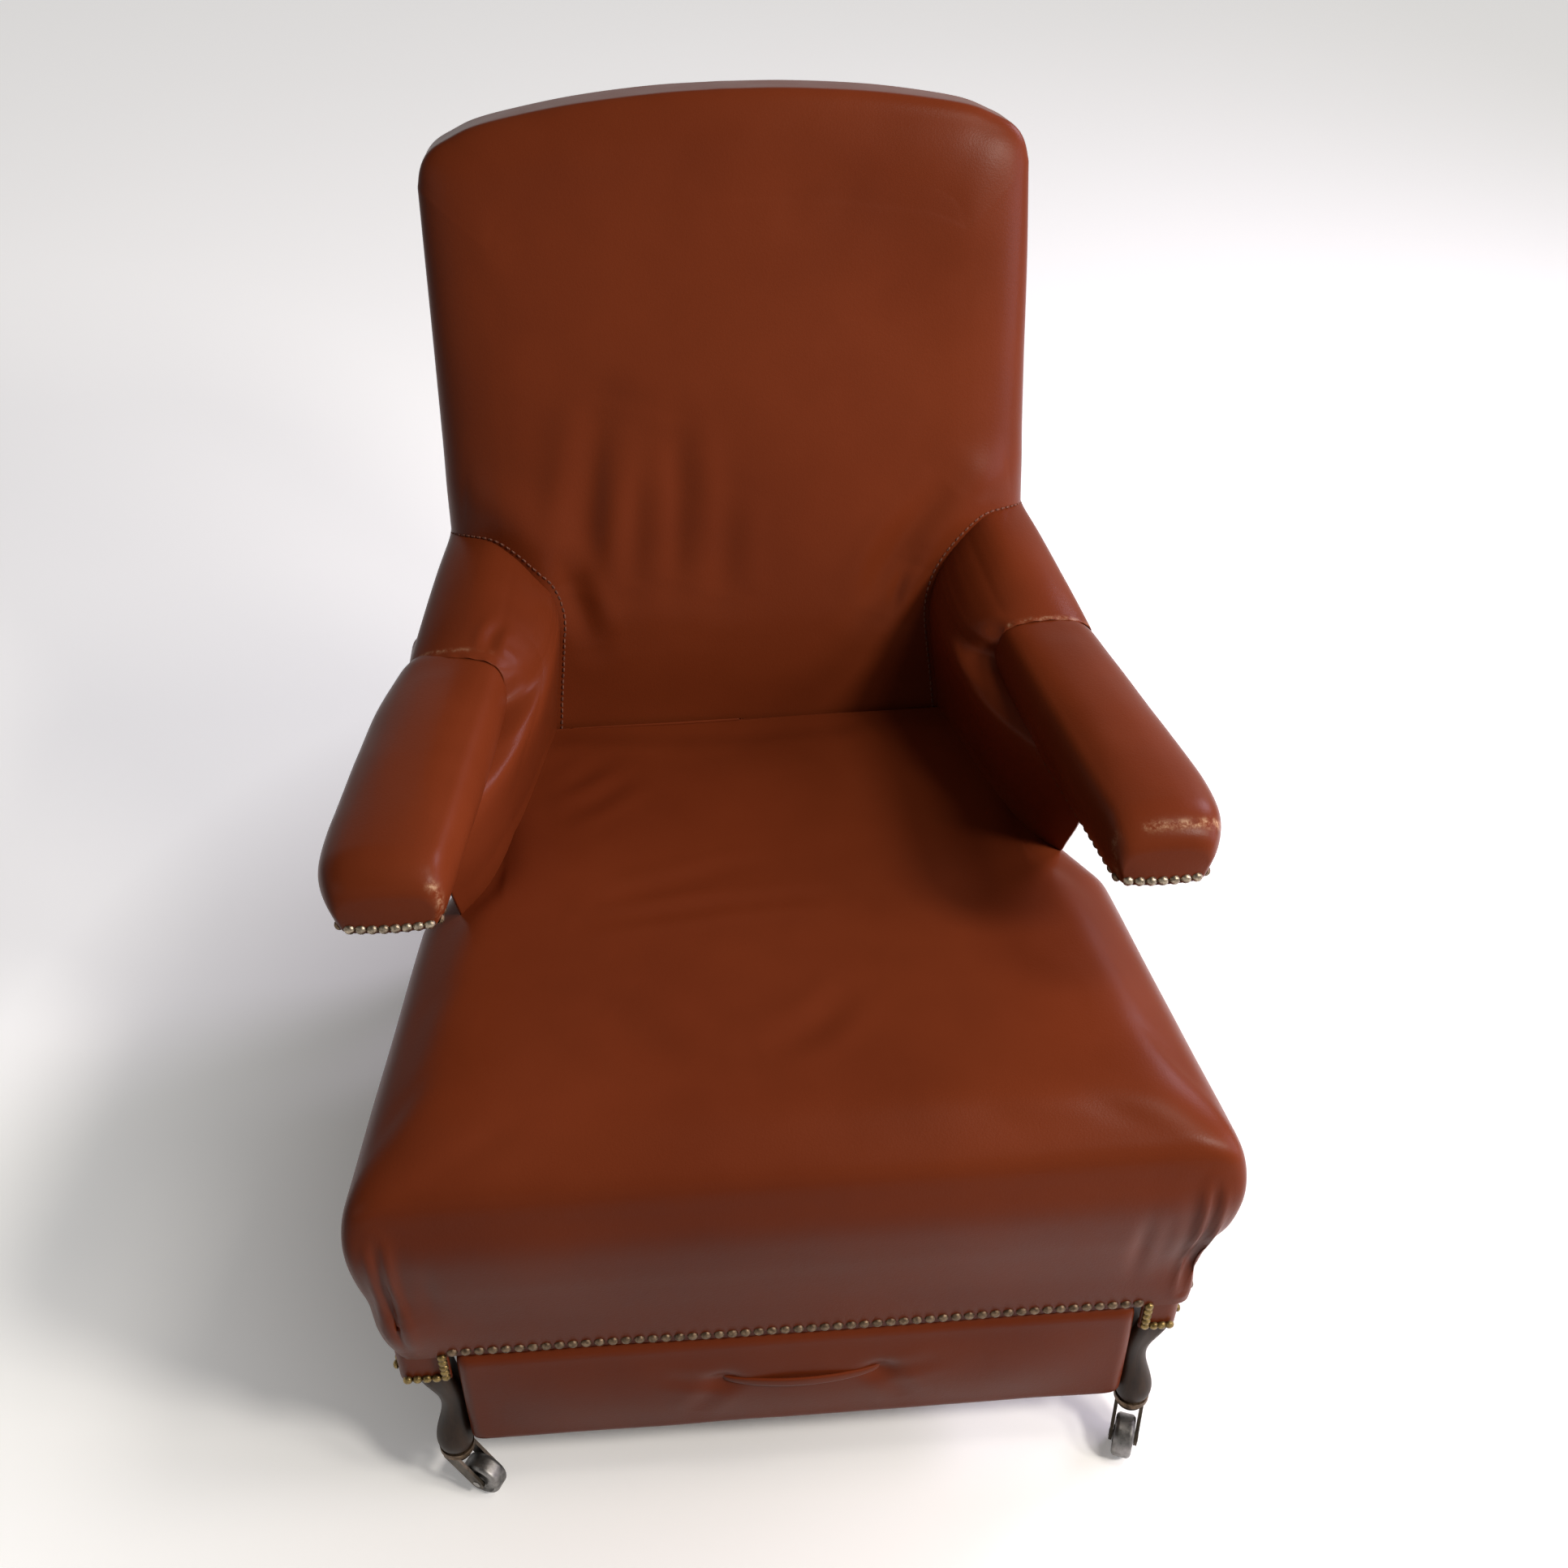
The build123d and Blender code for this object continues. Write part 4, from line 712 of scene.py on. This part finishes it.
def wing_cover(side, sign, back):
    flip = facing_side(sign)
    reach = WING_REACH[side]
    sheets = []
    for grid, centre in ((wing_grid(back, flip, reach), (290, 520, 520)),
                         (wing_flank(reach), (230, 470, 500)),
                         (wing_underside(), (290, 560, 600))):
        sheets.append(sheet("wing_sheet", grid * flip, np.array(centre) * flip))
    piece = join(f"{side}_wing_cover", sheets)
    subdivided(piece)
    ripple(piece, 90, 1.2)
    for line, deep, wide in WING_FOLDS[side]:
        crease(piece, np.array(line) * flip, deep, wide)
    wear_and_highlight(piece, smooth_line(HEM[2:6], 30) * flip, 2.0, 0.5)
    return piece


WING_FOLDS = {
    "left": [([(231, 458, 606), (226, 470, 590), (210, 496, 566), (200, 520, 540)], 4.0, 6),
             ([(226, 462, 596), (214, 478, 570), (206, 492, 540), (205, 505, 505)], 3.0, 6),
             ([(224, 462, 588), (216, 466, 560), (212, 474, 520)], 2.4, 6),
             ([(240, 458, 612), (236, 480, 618), (228, 500, 618)], 2.0, 6)],
    "right": [([(232, 458, 608), (224, 478, 596), (212, 500, 580)], 2.4, 6),
              ([(226, 460, 592), (214, 474, 560), (208, 488, 520)], 2.0, 8),
              ([(236, 462, 580), (226, 430, 540), (222, 432, 490)], 1.8, 10)]}


# Arm covers
def arm_at(line, depth):
    """Value at a depth of an arm's line, which runs smoothly through its points."""
    fine = smooth_line(line, 60)
    return np.interp(depth, fine[:, 0], fine[:, 1])


def arm_section(side, depth, shrink=0.0, drop=0.0):
    """Leather of the arm at one depth, from under its inner edge over the top to under its outer edge."""
    inner = arm_at(ARM_IN, depth) + shrink
    outer = arm_at(ARM_OUT, depth) + arm_at(ARM_EXTRA[side], depth) - shrink
    low, high = arm_at(ARM_LOW, depth), arm_at(ARM_HIGH, depth) - drop
    shape = smooth_line(ARM_SECTION, ARM_POINTS)
    return np.column_stack([inner + shape[:, 0] * (outer - inner), np.full(ARM_POINTS, depth),
                            np.maximum(low, low + shape[:, 1] * (high - low))])


def arm_cover(side, sign):
    run, fall = ARM_ROLL
    rows = []
    for depth in np.linspace(ARM_TUCK, ARM_FRONT + run, 66):
        tucked = 1 / (1 + math.exp((ARM_HEM + 5 - depth) / 2.5))
        rows.append(arm_section(side, depth, 5 * tucked, 3 * tucked))
    for angle in quarter_turn(0.06, 18):
        turned = 1 - math.cos(angle)
        depth = ARM_FRONT + run * (1 - math.sin(angle))
        rows.append(arm_section(side, depth, 8 * turned ** 1.5, fall * turned))
    front = rows[-1]
    low = front[0, 2]
    hub = np.array([(front[0, 0] + front[-1, 0]) / 2, 0.0, low])
    for scale in (0.94, 0.86, 0.7, 0.5, 0.3, 0.12, 0.01):
        ring = hub + (front - hub) * scale
        ring[:, 1] = ARM_FRONT - 2.0 * (1 - scale ** 2)
        rows.append(ring)
    flip = facing_side(sign)
    grid = np.array(rows) * flip
    piece = sheet(f"{side}_arm_cover", grid, (sign * 290, 300, 590))
    co = millimetres(points_of(piece))
    base = arm_at(ARM_LOW, co[:, 1])
    share = eased((co[:, 2] - base) / 30) * eased((ARM_HEM - 4 - co[:, 1]) / 40)
    stuffed(piece, (co[:, 2] < base + 4) | (co[:, 1] > ARM_HEM), ARM_SWELL, share, ARM_PRESSURE)
    subdivided(piece)
    ripple(piece, 70, 0.8)
    # Paler leather along the arm edges: partly worn leather, partly a painted highlight
    for line, reach, strength in ARM_WEAR_AND_HIGHLIGHT[side]:
        wear_and_highlight(piece, on_surface(piece, smooth_line(line, 20) * flip), reach, strength)
    return piece


# Paler marks on the arms: worn leather, and partly a painted highlight along the lit top front edge and inner
# front corner
ARM_WEAR_AND_HIGHLIGHT = {
    "left": [([(270, 152, 588), (268, 153, 602), (269, 156, 614), (275, 159, 622)], 4.0, 0.8)],
    "right": [([(292, 164, 632), (312, 163, 633), (334, 164, 632), (350, 170, 624)], 3.6, 0.85),
              ([(270, 153, 590), (268, 158, 608), (272, 166, 622)], 3.0, 0.4)]}


# Footrest: front pad with a strap, and the pad for the feet
def pad_ring(half, low, high, radius, inset, grid):
    corners = [(0, low + inset), (half - inset, low + inset), (half - inset, high - inset), (0, high - inset)]
    path, middles = rounded_path(corners, [radius, radius])
    return mirrored_ring(path, middles[0], middles[1], grid)


def footrest_panel():
    grid = PANEL_GRID
    levels = [(PANEL_BACK, 0.0), (8, 0.0), (5, 0.0), (2, 0.3)]
    for angle in quarter_turn(0.1, 9):
        levels.append((2 - (2 - PANEL_FACE) * math.sin(angle), 11 * (1 - math.cos(angle))))
    rings = []
    for depth, inset in levels:
        ring = pad_ring(PANEL_HALF, PANEL_LOW, PANEL_HIGH, 8, inset, grid)
        rings.append(np.column_stack([ring[:, 0], np.full(len(ring), depth), ring[:, 1]]))
    face = filled(rings[-1], grid)
    u = np.linspace(-1, 1, grid[0] + 1)[None, :]
    v = np.linspace(-1, 1, grid[1] + 1)[:, None]
    face[:, :, 1] -= 4 * (1 - u ** 8) ** 2 * (1 - v ** 2) ** 1.5
    piece = cover("footrest_panel_cover", np.array(rings), grid, first=filled(rings[0], grid), last=face)
    subdivided(piece)
    ripple(piece, 80, 0.9)
    for end, turn in ((STRAP_ENDS[0], -1), (STRAP_ENDS[1], 1)):
        bulge(piece, (end, -10, STRAP_HEIGHT), (15, 30, 12), -5.0)
        drop = [(end, -9, STRAP_HEIGHT - 4), (end + turn * 14, -9, 130), (end + turn * 24, -9, 104)]
        pull = [(end, -9, STRAP_HEIGHT), (end + turn * 26, -9, 158), (end + turn * 56, -9, 166)]
        crease(piece, drop, 0.9, 10)
        crease(piece, pull, 0.7, 9)
    return piece


def squared(value):
    """Pushes a circle's sine or cosine outwards, for a flattened section."""
    return math.copysign(abs(value) ** 0.6, value)


def footrest_strap():
    count = 60
    t = np.linspace(0, 1, count)
    x = STRAP_ENDS[0] + (STRAP_ENDS[1] - STRAP_ENDS[0]) * t
    bow = np.sin(math.pi * t) ** 0.6
    depth = PANEL_FACE + 3 - (STRAP_PROUD + 3) * bow
    height = STRAP_HEIGHT - 2.5 * bow
    wide = STRAP_WIDE / 2 * (0.45 + 0.55 * np.sin(math.pi * t) ** 0.5)
    turns = np.linspace(0, 2 * math.pi, 20, endpoint=False)
    outline = [(squared(math.cos(a)), squared(math.sin(a))) for a in turns]
    rows = []
    for k in range(count):
        rows.append([(x[k], depth[k] + STRAP_HALF_THICK * c, height[k] + wide[k] * s) for c, s in outline])
    grid = np.array(rows)
    closed = np.concatenate([grid, grid[:, :1]], axis=1)
    return sheet("footrest_strap", closed, (0, -14, STRAP_HEIGHT))


def foot_pad():
    low, high = (millimetres(np.array(c, float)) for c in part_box("footrest_top_pad"))
    grid = FOOT_PAD_GRID
    rings = []
    tall = high[2] - low[2]
    for z, inset in ((0, 1.0), (0.25, 0.2), (0.5, 0.0), (0.7, 1.5), (0.84, 5), (0.93, 11), (0.98, 19)):
        ring = pad_ring(high[0], low[1], high[1], 14, inset, grid)
        rings.append(np.column_stack([ring, np.full(len(ring), low[2] + z * tall)]))
    top = filled(rings[-1], grid)
    piece = cover("foot_pad_cover", np.array(rings), grid, first=filled(rings[0], grid), last=top)
    ripple(piece, 60, 0.5)
    return piece


# Nails and stitches
def nail_heads(name, places, radius):
    """Domed nail heads; each place is a point and the way it faces."""
    profile = [(1.0, -0.25), (1.0, 0.05), (0.93, 0.3), (0.7, 0.55), (0.36, 0.7), (0.0, 0.74)]
    verts, faces = [], []
    for point, facing in places:
        out = Vector(facing).normalized()
        side = out.orthogonal().normalized()
        other = out.cross(side)
        centre = Vector(metres(point))
        start = len(verts)
        for r, h in profile[:-1]:
            for k in range(NAIL_SIDES):
                a = 2 * math.pi * k / NAIL_SIDES
                flat = side * math.cos(a) + other * math.sin(a)
                verts.append(centre + (flat * r + out * h) * radius * MM)
        verts.append(centre + out * profile[-1][1] * radius * MM)
        for ring in range(len(profile) - 2):
            first = start + NAIL_SIDES * ring
            for k in range(NAIL_SIDES):
                a, b = first + k, first + (k + 1) % NAIL_SIDES
                faces.append((a, b, b + NAIL_SIDES, a + NAIL_SIDES))
        last = start + NAIL_SIDES * (len(profile) - 2)
        faces += [(last + k, last + (k + 1) % NAIL_SIDES, len(verts) - 1) for k in range(NAIL_SIDES)]
    return mesh_piece(name, verts, faces)


def spaced(points, pitch):
    """Points along a curve at about one pitch."""
    fine = smooth_line(points, 40 * len(points))
    length = np.linalg.norm(np.diff(fine, axis=0), axis=1).sum()
    return resampled(fine, max(2, int(round(length / pitch)) + 1))


def row_of_nails(points, facing, pitch=NAIL_PITCH):
    return [(tuple(p), facing) for p in spaced(points, pitch)]


def front_nails(seat):
    line = spaced([(-297, -10, NAIL_ROW), (0, -10, NAIL_ROW), (297, -10, NAIL_ROW)], NAIL_PITCH)
    return [(tuple(p), (0, -1, 0)) for p in on_surface(seat, line)]


def side_nails(seat, sign):
    corners = np.array([(352, 14, NAIL_ROW), (312, 250, NAIL_ROW), (268, 536, NAIL_ROW)])
    line = spaced(corners * facing_side(sign), NAIL_PITCH)
    return [(tuple(p), (sign, 0.15, 0)) for p in on_surface(seat, line)]


def tab_nails(sign):
    front = SEAT_CORNER[1] + FRONT_SHARE * SEAT_PROFILE[0][1] - 1.2
    half = TAB_HALF[sign]
    flip = facing_side(sign)
    column = np.array([(307, front, 214), (307, front, 184)])
    across = np.array([(315, front, TAB_NAIL_ROW), (half - 10, front, TAB_NAIL_ROW)])
    around = np.array([(half + 0.6, 14, TAB_NAIL_ROW), (half - 2.5, 36, TAB_NAIL_ROW)])
    places = row_of_nails(column * flip, (0, -1, 0), 7.6)
    places += row_of_nails(across * flip, (0, -1, 0), 8.6)
    places += row_of_nails(around * flip, (sign, 0.14, 0), 8.6)
    return places


def arm_front_nails(arm, side, sign, count):
    ends = (277, 341 + ARM_EXTRA[side][0][1])
    line = [(sign * x, ARM_FRONT - 6, ARM_LOW[0][1] + 4.5) for x in np.linspace(*ends, count)]
    return [(tuple(p), (0, -1, -0.15)) for p in on_surface(arm, line)]


def arm_side_nails(side, sign, tuck):
    places = []
    for edge, way in ((ARM_IN, -1), (ARM_OUT, 1)):
        line = []
        for depth, share in ((ARM_FRONT + 9, 0.0), (200.0, 0.7), (300.0, 1.0), (425.0, 1.0)):
            x = arm_at(edge, depth) - way * (1.5 + tuck * share)
            x += arm_at(ARM_EXTRA[side], depth) if way > 0 else 0.0
            line.append((sign * x, depth, arm_at(ARM_LOW, depth) + 2.2))
        places += row_of_nails(line, (sign * way, 0, -0.6))
    return places


def stitches(name, points, pitch=STITCH_PITCH):
    """A row of short thread stitches along a curve."""
    line = spaced(points, pitch)
    profile = ((-0.36, 0.2), (-0.28, 0.75), (0.0, 0.95), (0.28, 0.75), (0.36, 0.2))
    pieces = []
    for k in range(len(line) - 1):
        run = line[k + 1] - line[k]
        middle = line[k] + 0.5 * run
        way = Vector(run).normalized()
        side = way.orthogonal().normalized()
        other = way.cross(side)
        rows = []
        for along, thick in profile:
            hub = Vector(middle) + Vector(run) * along
            rows.append([hub + (side * math.cos(a) + other * math.sin(a)) * thick
                         for a in np.linspace(0, 2 * math.pi, STITCH_SIDES)])
        pieces.append(np.array(rows))
    verts = np.concatenate([metres(p).reshape(-1, 3) for p in pieces])
    one = wall_faces(len(profile), STITCH_SIDES, False)
    faces = []
    for k in range(len(pieces)):
        faces += [tuple(i + len(profile) * STITCH_SIDES * k for i in f) for f in one]
    return mesh_piece(name, verts, faces)


# Materials
def node_tree(name):
    material = bpy.data.materials.new(name)
    material.use_nodes = True
    return material, material.node_tree, material.node_tree.nodes["Principled BSDF"]


def given(node, **values):
    """A node with values for its inputs, named with underscores for spaces."""
    for name, value in values.items():
        node.inputs[name.replace("_", " ")].default_value = value
    return node


def coordinates(net):
    return net.nodes.new("ShaderNodeTexCoord").outputs["Object"]


def stretched(net, where, scale):
    mapping = given(net.nodes.new("ShaderNodeMapping"), Scale=scale)
    net.links.new(where, mapping.inputs["Vector"])
    return mapping.outputs["Vector"]


def noise_node(net, where, scale, detail=4.0, rough=0.5):
    n = given(net.nodes.new("ShaderNodeTexNoise"), Scale=scale, Detail=detail, Roughness=rough)
    net.links.new(where, n.inputs["Vector"])
    return n.outputs["Fac"]


def ramp(net, value, stops):
    r = net.nodes.new("ShaderNodeValToRGB")
    while len(r.color_ramp.elements) < len(stops):
        r.color_ramp.elements.new(0.5)
    for element, (place, colour) in zip(r.color_ramp.elements, stops):
        element.position = place
        element.color = (*colour, 1)
    net.links.new(value, r.inputs["Fac"])
    return r.outputs["Color"]


def scaled(net, value, low, high, start=0.0, end=1.0):
    m = given(net.nodes.new("ShaderNodeMapRange"), From_Min=start, From_Max=end, To_Min=low, To_Max=high)
    net.links.new(value, m.inputs["Value"])
    return m.outputs["Result"]


def joined(net, a, b, operation):
    m = net.nodes.new("ShaderNodeMath")
    m.operation = operation
    net.links.new(a, m.inputs[0])
    net.links.new(b, m.inputs[1])
    return m.outputs[0]


def mixed(net, factor, first, second):
    m = net.nodes.new("ShaderNodeMix")
    m.data_type = "RGBA"
    net.links.new(factor, m.inputs["Factor"])
    net.links.new(first, m.inputs["A"])
    net.links.new(second, m.inputs["B"])
    return m.outputs["Result"]


def bump(net, shader, height, strength, distance):
    b = given(net.nodes.new("ShaderNodeBump"), Strength=strength, Distance=distance)
    net.links.new(height, b.inputs["Height"])
    net.links.new(b.outputs["Normal"], shader.inputs["Normal"])


def leather():
    """Smooth reddish-brown leather with fine grain, uneven polish, and paler edges of worn leather and
    painted highlight.
    """
    material, net, shader = node_tree("leather")
    where = coordinates(net)
    broad = noise_node(net, where, 6.0, 3.0)
    colour = ramp(net, broad, [(0.25, (0.132, 0.0235, 0.0068)), (0.55, (0.158, 0.0290, 0.0084)),
                               (0.8, (0.178, 0.0335, 0.0100))])
    # Paler leather where the attribute is set: worn edges, and on the arms partly a painted highlight
    attribute = net.nodes.new("ShaderNodeAttribute")
    attribute.attribute_name = "wear_and_highlight"
    flecks = scaled(net, noise_node(net, where, 150.0, 6.0, 0.7), 0.0, 1.0, 0.36, 0.66)
    worn_and_lit = joined(net, attribute.outputs["Fac"], flecks, "MULTIPLY")
    pale = ramp(net, flecks, [(0.2, (0.30, 0.10, 0.045)), (0.9, (0.62, 0.40, 0.24))])
    net.links.new(mixed(net, worn_and_lit, colour, pale), shader.inputs["Base Color"])
    patch = noise_node(net, where, 24.0, 5.0)
    net.links.new(scaled(net, patch, *LEATHER_ROUGH), shader.inputs["Roughness"])
    given(shader, Specular_IOR_Level=LEATHER_SHEEN)
    cells = given(net.nodes.new("ShaderNodeTexVoronoi"), Scale=560.0)
    net.links.new(where, cells.inputs["Vector"])
    grain = joined(net, scaled(net, cells.outputs["Distance"], 0.0, 0.5),
                   scaled(net, noise_node(net, where, 230.0, 3.0), 0.0, 0.6), "ADD")
    bump(net, shader, grain, 0.16, 0.0006)
    return material


def wood(name, grain_scale, dark, light, rough):
    material, net, shader = node_tree(name)
    grain = noise_node(net, stretched(net, coordinates(net), grain_scale), 1.8, 6.0, 0.6)
    net.links.new(ramp(net, grain, [(0.3, dark), (0.7, light)]), shader.inputs["Base Color"])
    net.links.new(scaled(net, grain, rough - 0.1, rough + 0.1), shader.inputs["Roughness"])
    given(shader, Specular_IOR_Level=0.2)
    bump(net, shader, grain, 0.2, 0.0005)
    return material


def metal(name, dark, light, rough, size=60.0):
    material, net, shader = node_tree(name)
    where = coordinates(net)
    patch = noise_node(net, where, size, 5.0, 0.6)
    net.links.new(ramp(net, patch, [(0.35, dark), (0.65, light)]), shader.inputs["Base Color"])
    given(shader, Metallic=1.0)
    net.links.new(scaled(net, patch, rough + 0.14, rough - 0.08), shader.inputs["Roughness"])
    bump(net, shader, noise_node(net, where, 8 * size, 3.0), 0.12, 0.0004)
    return material


def woven(name, dark, light):
    material, net, shader = node_tree(name)
    waves = given(net.nodes.new("ShaderNodeTexWave"), Scale=120.0, Distortion=1.2)
    net.links.new(coordinates(net), waves.inputs["Vector"])
    colour = ramp(net, waves.outputs["Fac"], [(0.2, dark), (0.8, light)])
    net.links.new(colour, shader.inputs["Base Color"])
    given(shader, Roughness=0.9)
    bump(net, shader, waves.outputs["Fac"], 0.4, 0.0006)
    return material


def pale_floor():
    """Floor that looks white to camera and reflections, and keeps its shadow near the chair."""
    material, net, shader = node_tree("pale_floor")
    where = coordinates(net)
    tone = noise_node(net, where, 1.5, 2.0)
    path = net.nodes.new("ShaderNodeLightPath").outputs
    mirrored = joined(net, path["Is Glossy Ray"], path["Is Transmission Ray"], "MAXIMUM")
    seen = joined(net, path["Is Camera Ray"], mirrored, "MAXIMUM")
    warm = ramp(net, tone, [(0.3, (0.34, 0.30, 0.25)), (0.7, (0.37, 0.33, 0.28))])
    white = ramp(net, tone, [(0.3, (0.93, 0.93, 0.93)), (0.7, (0.95, 0.95, 0.95))])
    net.links.new(mixed(net, seen, warm, white), shader.inputs["Base Color"])
    given(shader, Roughness=0.95, Specular_IOR_Level=0.1, Emission_Color=(1.0, 1.0, 1.0, 1.0))
    length = net.nodes.new("ShaderNodeVectorMath")
    length.operation = "LENGTH"
    net.links.new(where, length.inputs[0])
    away = scaled(net, length.outputs["Value"], 0.0, FLOOR_GLOW, GLOW_FROM, GLOW_FULL)
    glow = joined(net, seen, away, "MULTIPLY")
    net.links.new(glow, shader.inputs["Emission Strength"])
    return material


def dress(piece, material):
    piece.data.materials.clear()
    piece.data.materials.append(material)


LEATHER = leather()
THREAD = woven("thread", (0.11, 0.035, 0.020), (0.20, 0.075, 0.045))
BRASS = metal("aged_brass", (0.075, 0.050, 0.032), (0.20, 0.14, 0.09), 0.5, 260.0)
ARM_BRASS = metal("worn_brass", (0.13, 0.10, 0.07), (0.42, 0.35, 0.26), 0.36, 260.0)
GOLD_BRASS = metal("rubbed_brass", (0.09, 0.060, 0.022), (0.30, 0.215, 0.085), 0.40, 260.0)
IRON = metal("dark_iron", (0.030, 0.025, 0.020), (0.10, 0.08, 0.06), 0.42)
LOOKS = {"leather": LEATHER, "stuffed_leather": LEATHER,
         "dark_wood": wood("dark_wood", (60, 60, 7), (0.014, 0.008, 0.005), (0.048, 0.028, 0.018), 0.46),
         "frame_wood": wood("frame_wood", (9, 9, 60), (0.20, 0.11, 0.05), (0.38, 0.24, 0.12), 0.65),
         "webbing": woven("webbing", (0.19, 0.13, 0.07), (0.40, 0.30, 0.17)),
         "fibre": woven("pressed_fibre", (0.03, 0.02, 0.016), (0.07, 0.05, 0.04)),
         "steel": metal("dull_steel", (0.22, 0.21, 0.20), (0.45, 0.44, 0.42), 0.40),
         "painted_steel": IRON, "iron": IRON,
         "wheel_iron": metal("worn_iron", (0.08, 0.078, 0.075), (0.30, 0.29, 0.28), 0.45), "brass": BRASS}
for part in frame["record"]["subparts"]:
    dress(frame["nodes"][part["node"]], LOOKS[part["material_slot"]])


def soft_piece(piece, body, nodes):
    """Leather over stuffing that stands for the CAD pads named; it rides on a body when one is given."""
    dress(piece, LEATHER)
    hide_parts(*nodes)
    if body:
        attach(piece, body)


def trim(piece, body, material):
    dress(piece, material)
    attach(piece, body)


# Pieces
seat = seat_cover()
soft_piece(seat, "base", ["seat_cushion", "front_apron", "left_side_apron", "right_side_apron"])
back = back_cover()
soft_piece(back, "back", ["back_cushion", "back_outside_panel"])
soft_piece(footrest_panel(), "footrest", ["footrest_front_pad"])
soft_piece(foot_pad(), "footrest", ["footrest_top_pad"])
strap = footrest_strap()
trim(strap, "footrest", LEATHER)
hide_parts("footrest_pull")
tabs = join("leg_tabs", [leg_tab(-1), leg_tab(1)])
trim(tabs, "base", LEATHER)
apron_places = front_nails(seat) + side_nails(seat, -1) + side_nails(seat, 1)
trim(nail_heads("apron_nails", apron_places, NAIL_RADIUS), "base", BRASS)
trim(nail_heads("tab_nails", tab_nails(-1) + tab_nails(1), SMALL_NAIL_RADIUS), "base", GOLD_BRASS)
for side, sign, count, tuck in (("left", -1, 8, 4.0), ("right", 1, 7, 1.5)):
    arm = arm_cover(side, sign)
    soft_piece(arm, f"{side}_arm", [f"{side}_arm_pad"])
    front_row = nail_heads(f"{side}_arm_front_nails", arm_front_nails(arm, side, sign, count), NAIL_RADIUS)
    trim(front_row, f"{side}_arm", ARM_BRASS)
    side_rows = nail_heads(f"{side}_arm_side_nails", arm_side_nails(side, sign, tuck), SMALL_NAIL_RADIUS)
    trim(side_rows, f"{side}_arm", BRASS)
    wing = wing_cover(side, sign, back)
    soft_piece(wing, None, [f"{side}_side_wing"])
    tuple(metres((sign * 230.0, 585.0, 560.0)))
    tuple(metres((sign * 230.0, 470.0, 545.0)))
    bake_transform(wing)
    seam = smooth_line(np.array(SEAM[2:]) * facing_side(sign) + np.array([-4 * sign, 0, 2]), 60)
    trim(stitches(f"{side}_seam_stitches", on_surface(back, seam, 0.5)), "back", THREAD)

# Camera
yaw, pitch, roll = (math.radians(a) for a in CAMERA_TURN)
forward = Vector((math.sin(yaw) * math.cos(pitch), math.cos(yaw) * math.cos(pitch), -math.sin(pitch)))
level = Vector((math.cos(yaw), -math.sin(yaw), 0))
below = forward.cross(level)
across = math.cos(roll) * level + math.sin(roll) * below
below = -math.sin(roll) * level + math.cos(roll) * below
lens = bpy.data.cameras.new("camera")
lens.sensor_width = 36.0
lens.lens = CAMERA_LENS
lens.shift_x, lens.shift_y = CAMERA_SHIFT
camera = bpy.data.objects.new("camera", lens)
bpy.context.scene.collection.objects.link(camera)
camera.matrix_world = (Matrix.Translation(Vector(metres(CAMERA_PLACE)))
                       @ Matrix((across, -below, -forward)).transposed().to_4x4())
bpy.context.scene.camera = camera


# Light, floor and background
def lamp(name, place, target, size, power, colour):
    data = bpy.data.lights.new(name, "AREA")
    data.shape = "DISK"
    data.size = size
    data.energy = power
    data.color = colour
    light = bpy.data.objects.new(name, data)
    bpy.context.scene.collection.objects.link(light)
    light.location = place
    light.rotation_euler = (Vector(target) - Vector(place)).to_track_quat("-Z", "Y").to_euler()


lamp("key", (1.6, -1.4, 2.2), (0.1, -0.1, 0.5), 0.45, 38, (1.0, 0.94, 0.86))
lamp("second_key", (2.1, -1.2, 1.8), (0.1, -0.1, 0.5), 0.45, 18, (1.0, 0.94, 0.86))
lamp("top", (1.2, -0.5, 2.7), (0.1, -0.1, 0.4), 0.6, 13, (1.0, 0.93, 0.84))
lamp("left_fill", (-2.6, -1.6, 1.8), (0.0, 0.0, 0.5), 1.6, 3, (1.0, 0.94, 0.9))
lamp("right_window", (2.1, -0.4, 0.95), (0.2, 0.1, 0.6), 1.2, 15, (0.88, 0.80, 1.0))
lamp("right_rim", (1.9, 1.0, 1.7), (0.2, 0.2, 0.7), 0.9, 22, (0.90, 0.80, 1.0))


def studio_floor():
    """Round floor that curves up into a backdrop."""
    turns = np.linspace(0, 2 * math.pi, STUDIO_TURNS)
    rows = []
    for reach, height in STUDIO_PROFILE:
        level = np.full(STUDIO_TURNS, height)
        rows.append(np.column_stack([reach * np.cos(turns), reach * np.sin(turns), level]))
    verts = np.array(rows).reshape(-1, 3)
    return mesh_piece("floor", verts, wall_faces(len(rows), STUDIO_TURNS, False))


floor = studio_floor()
dress(floor, pale_floor())
world = bpy.data.worlds.new("world")
bpy.context.scene.world = world
world.use_nodes = True
given(world.node_tree.nodes["Background"], Color=WORLD_COLOUR, Strength=WORLD_STRENGTH)
bpy.context.scene.view_settings.view_transform = "Standard"
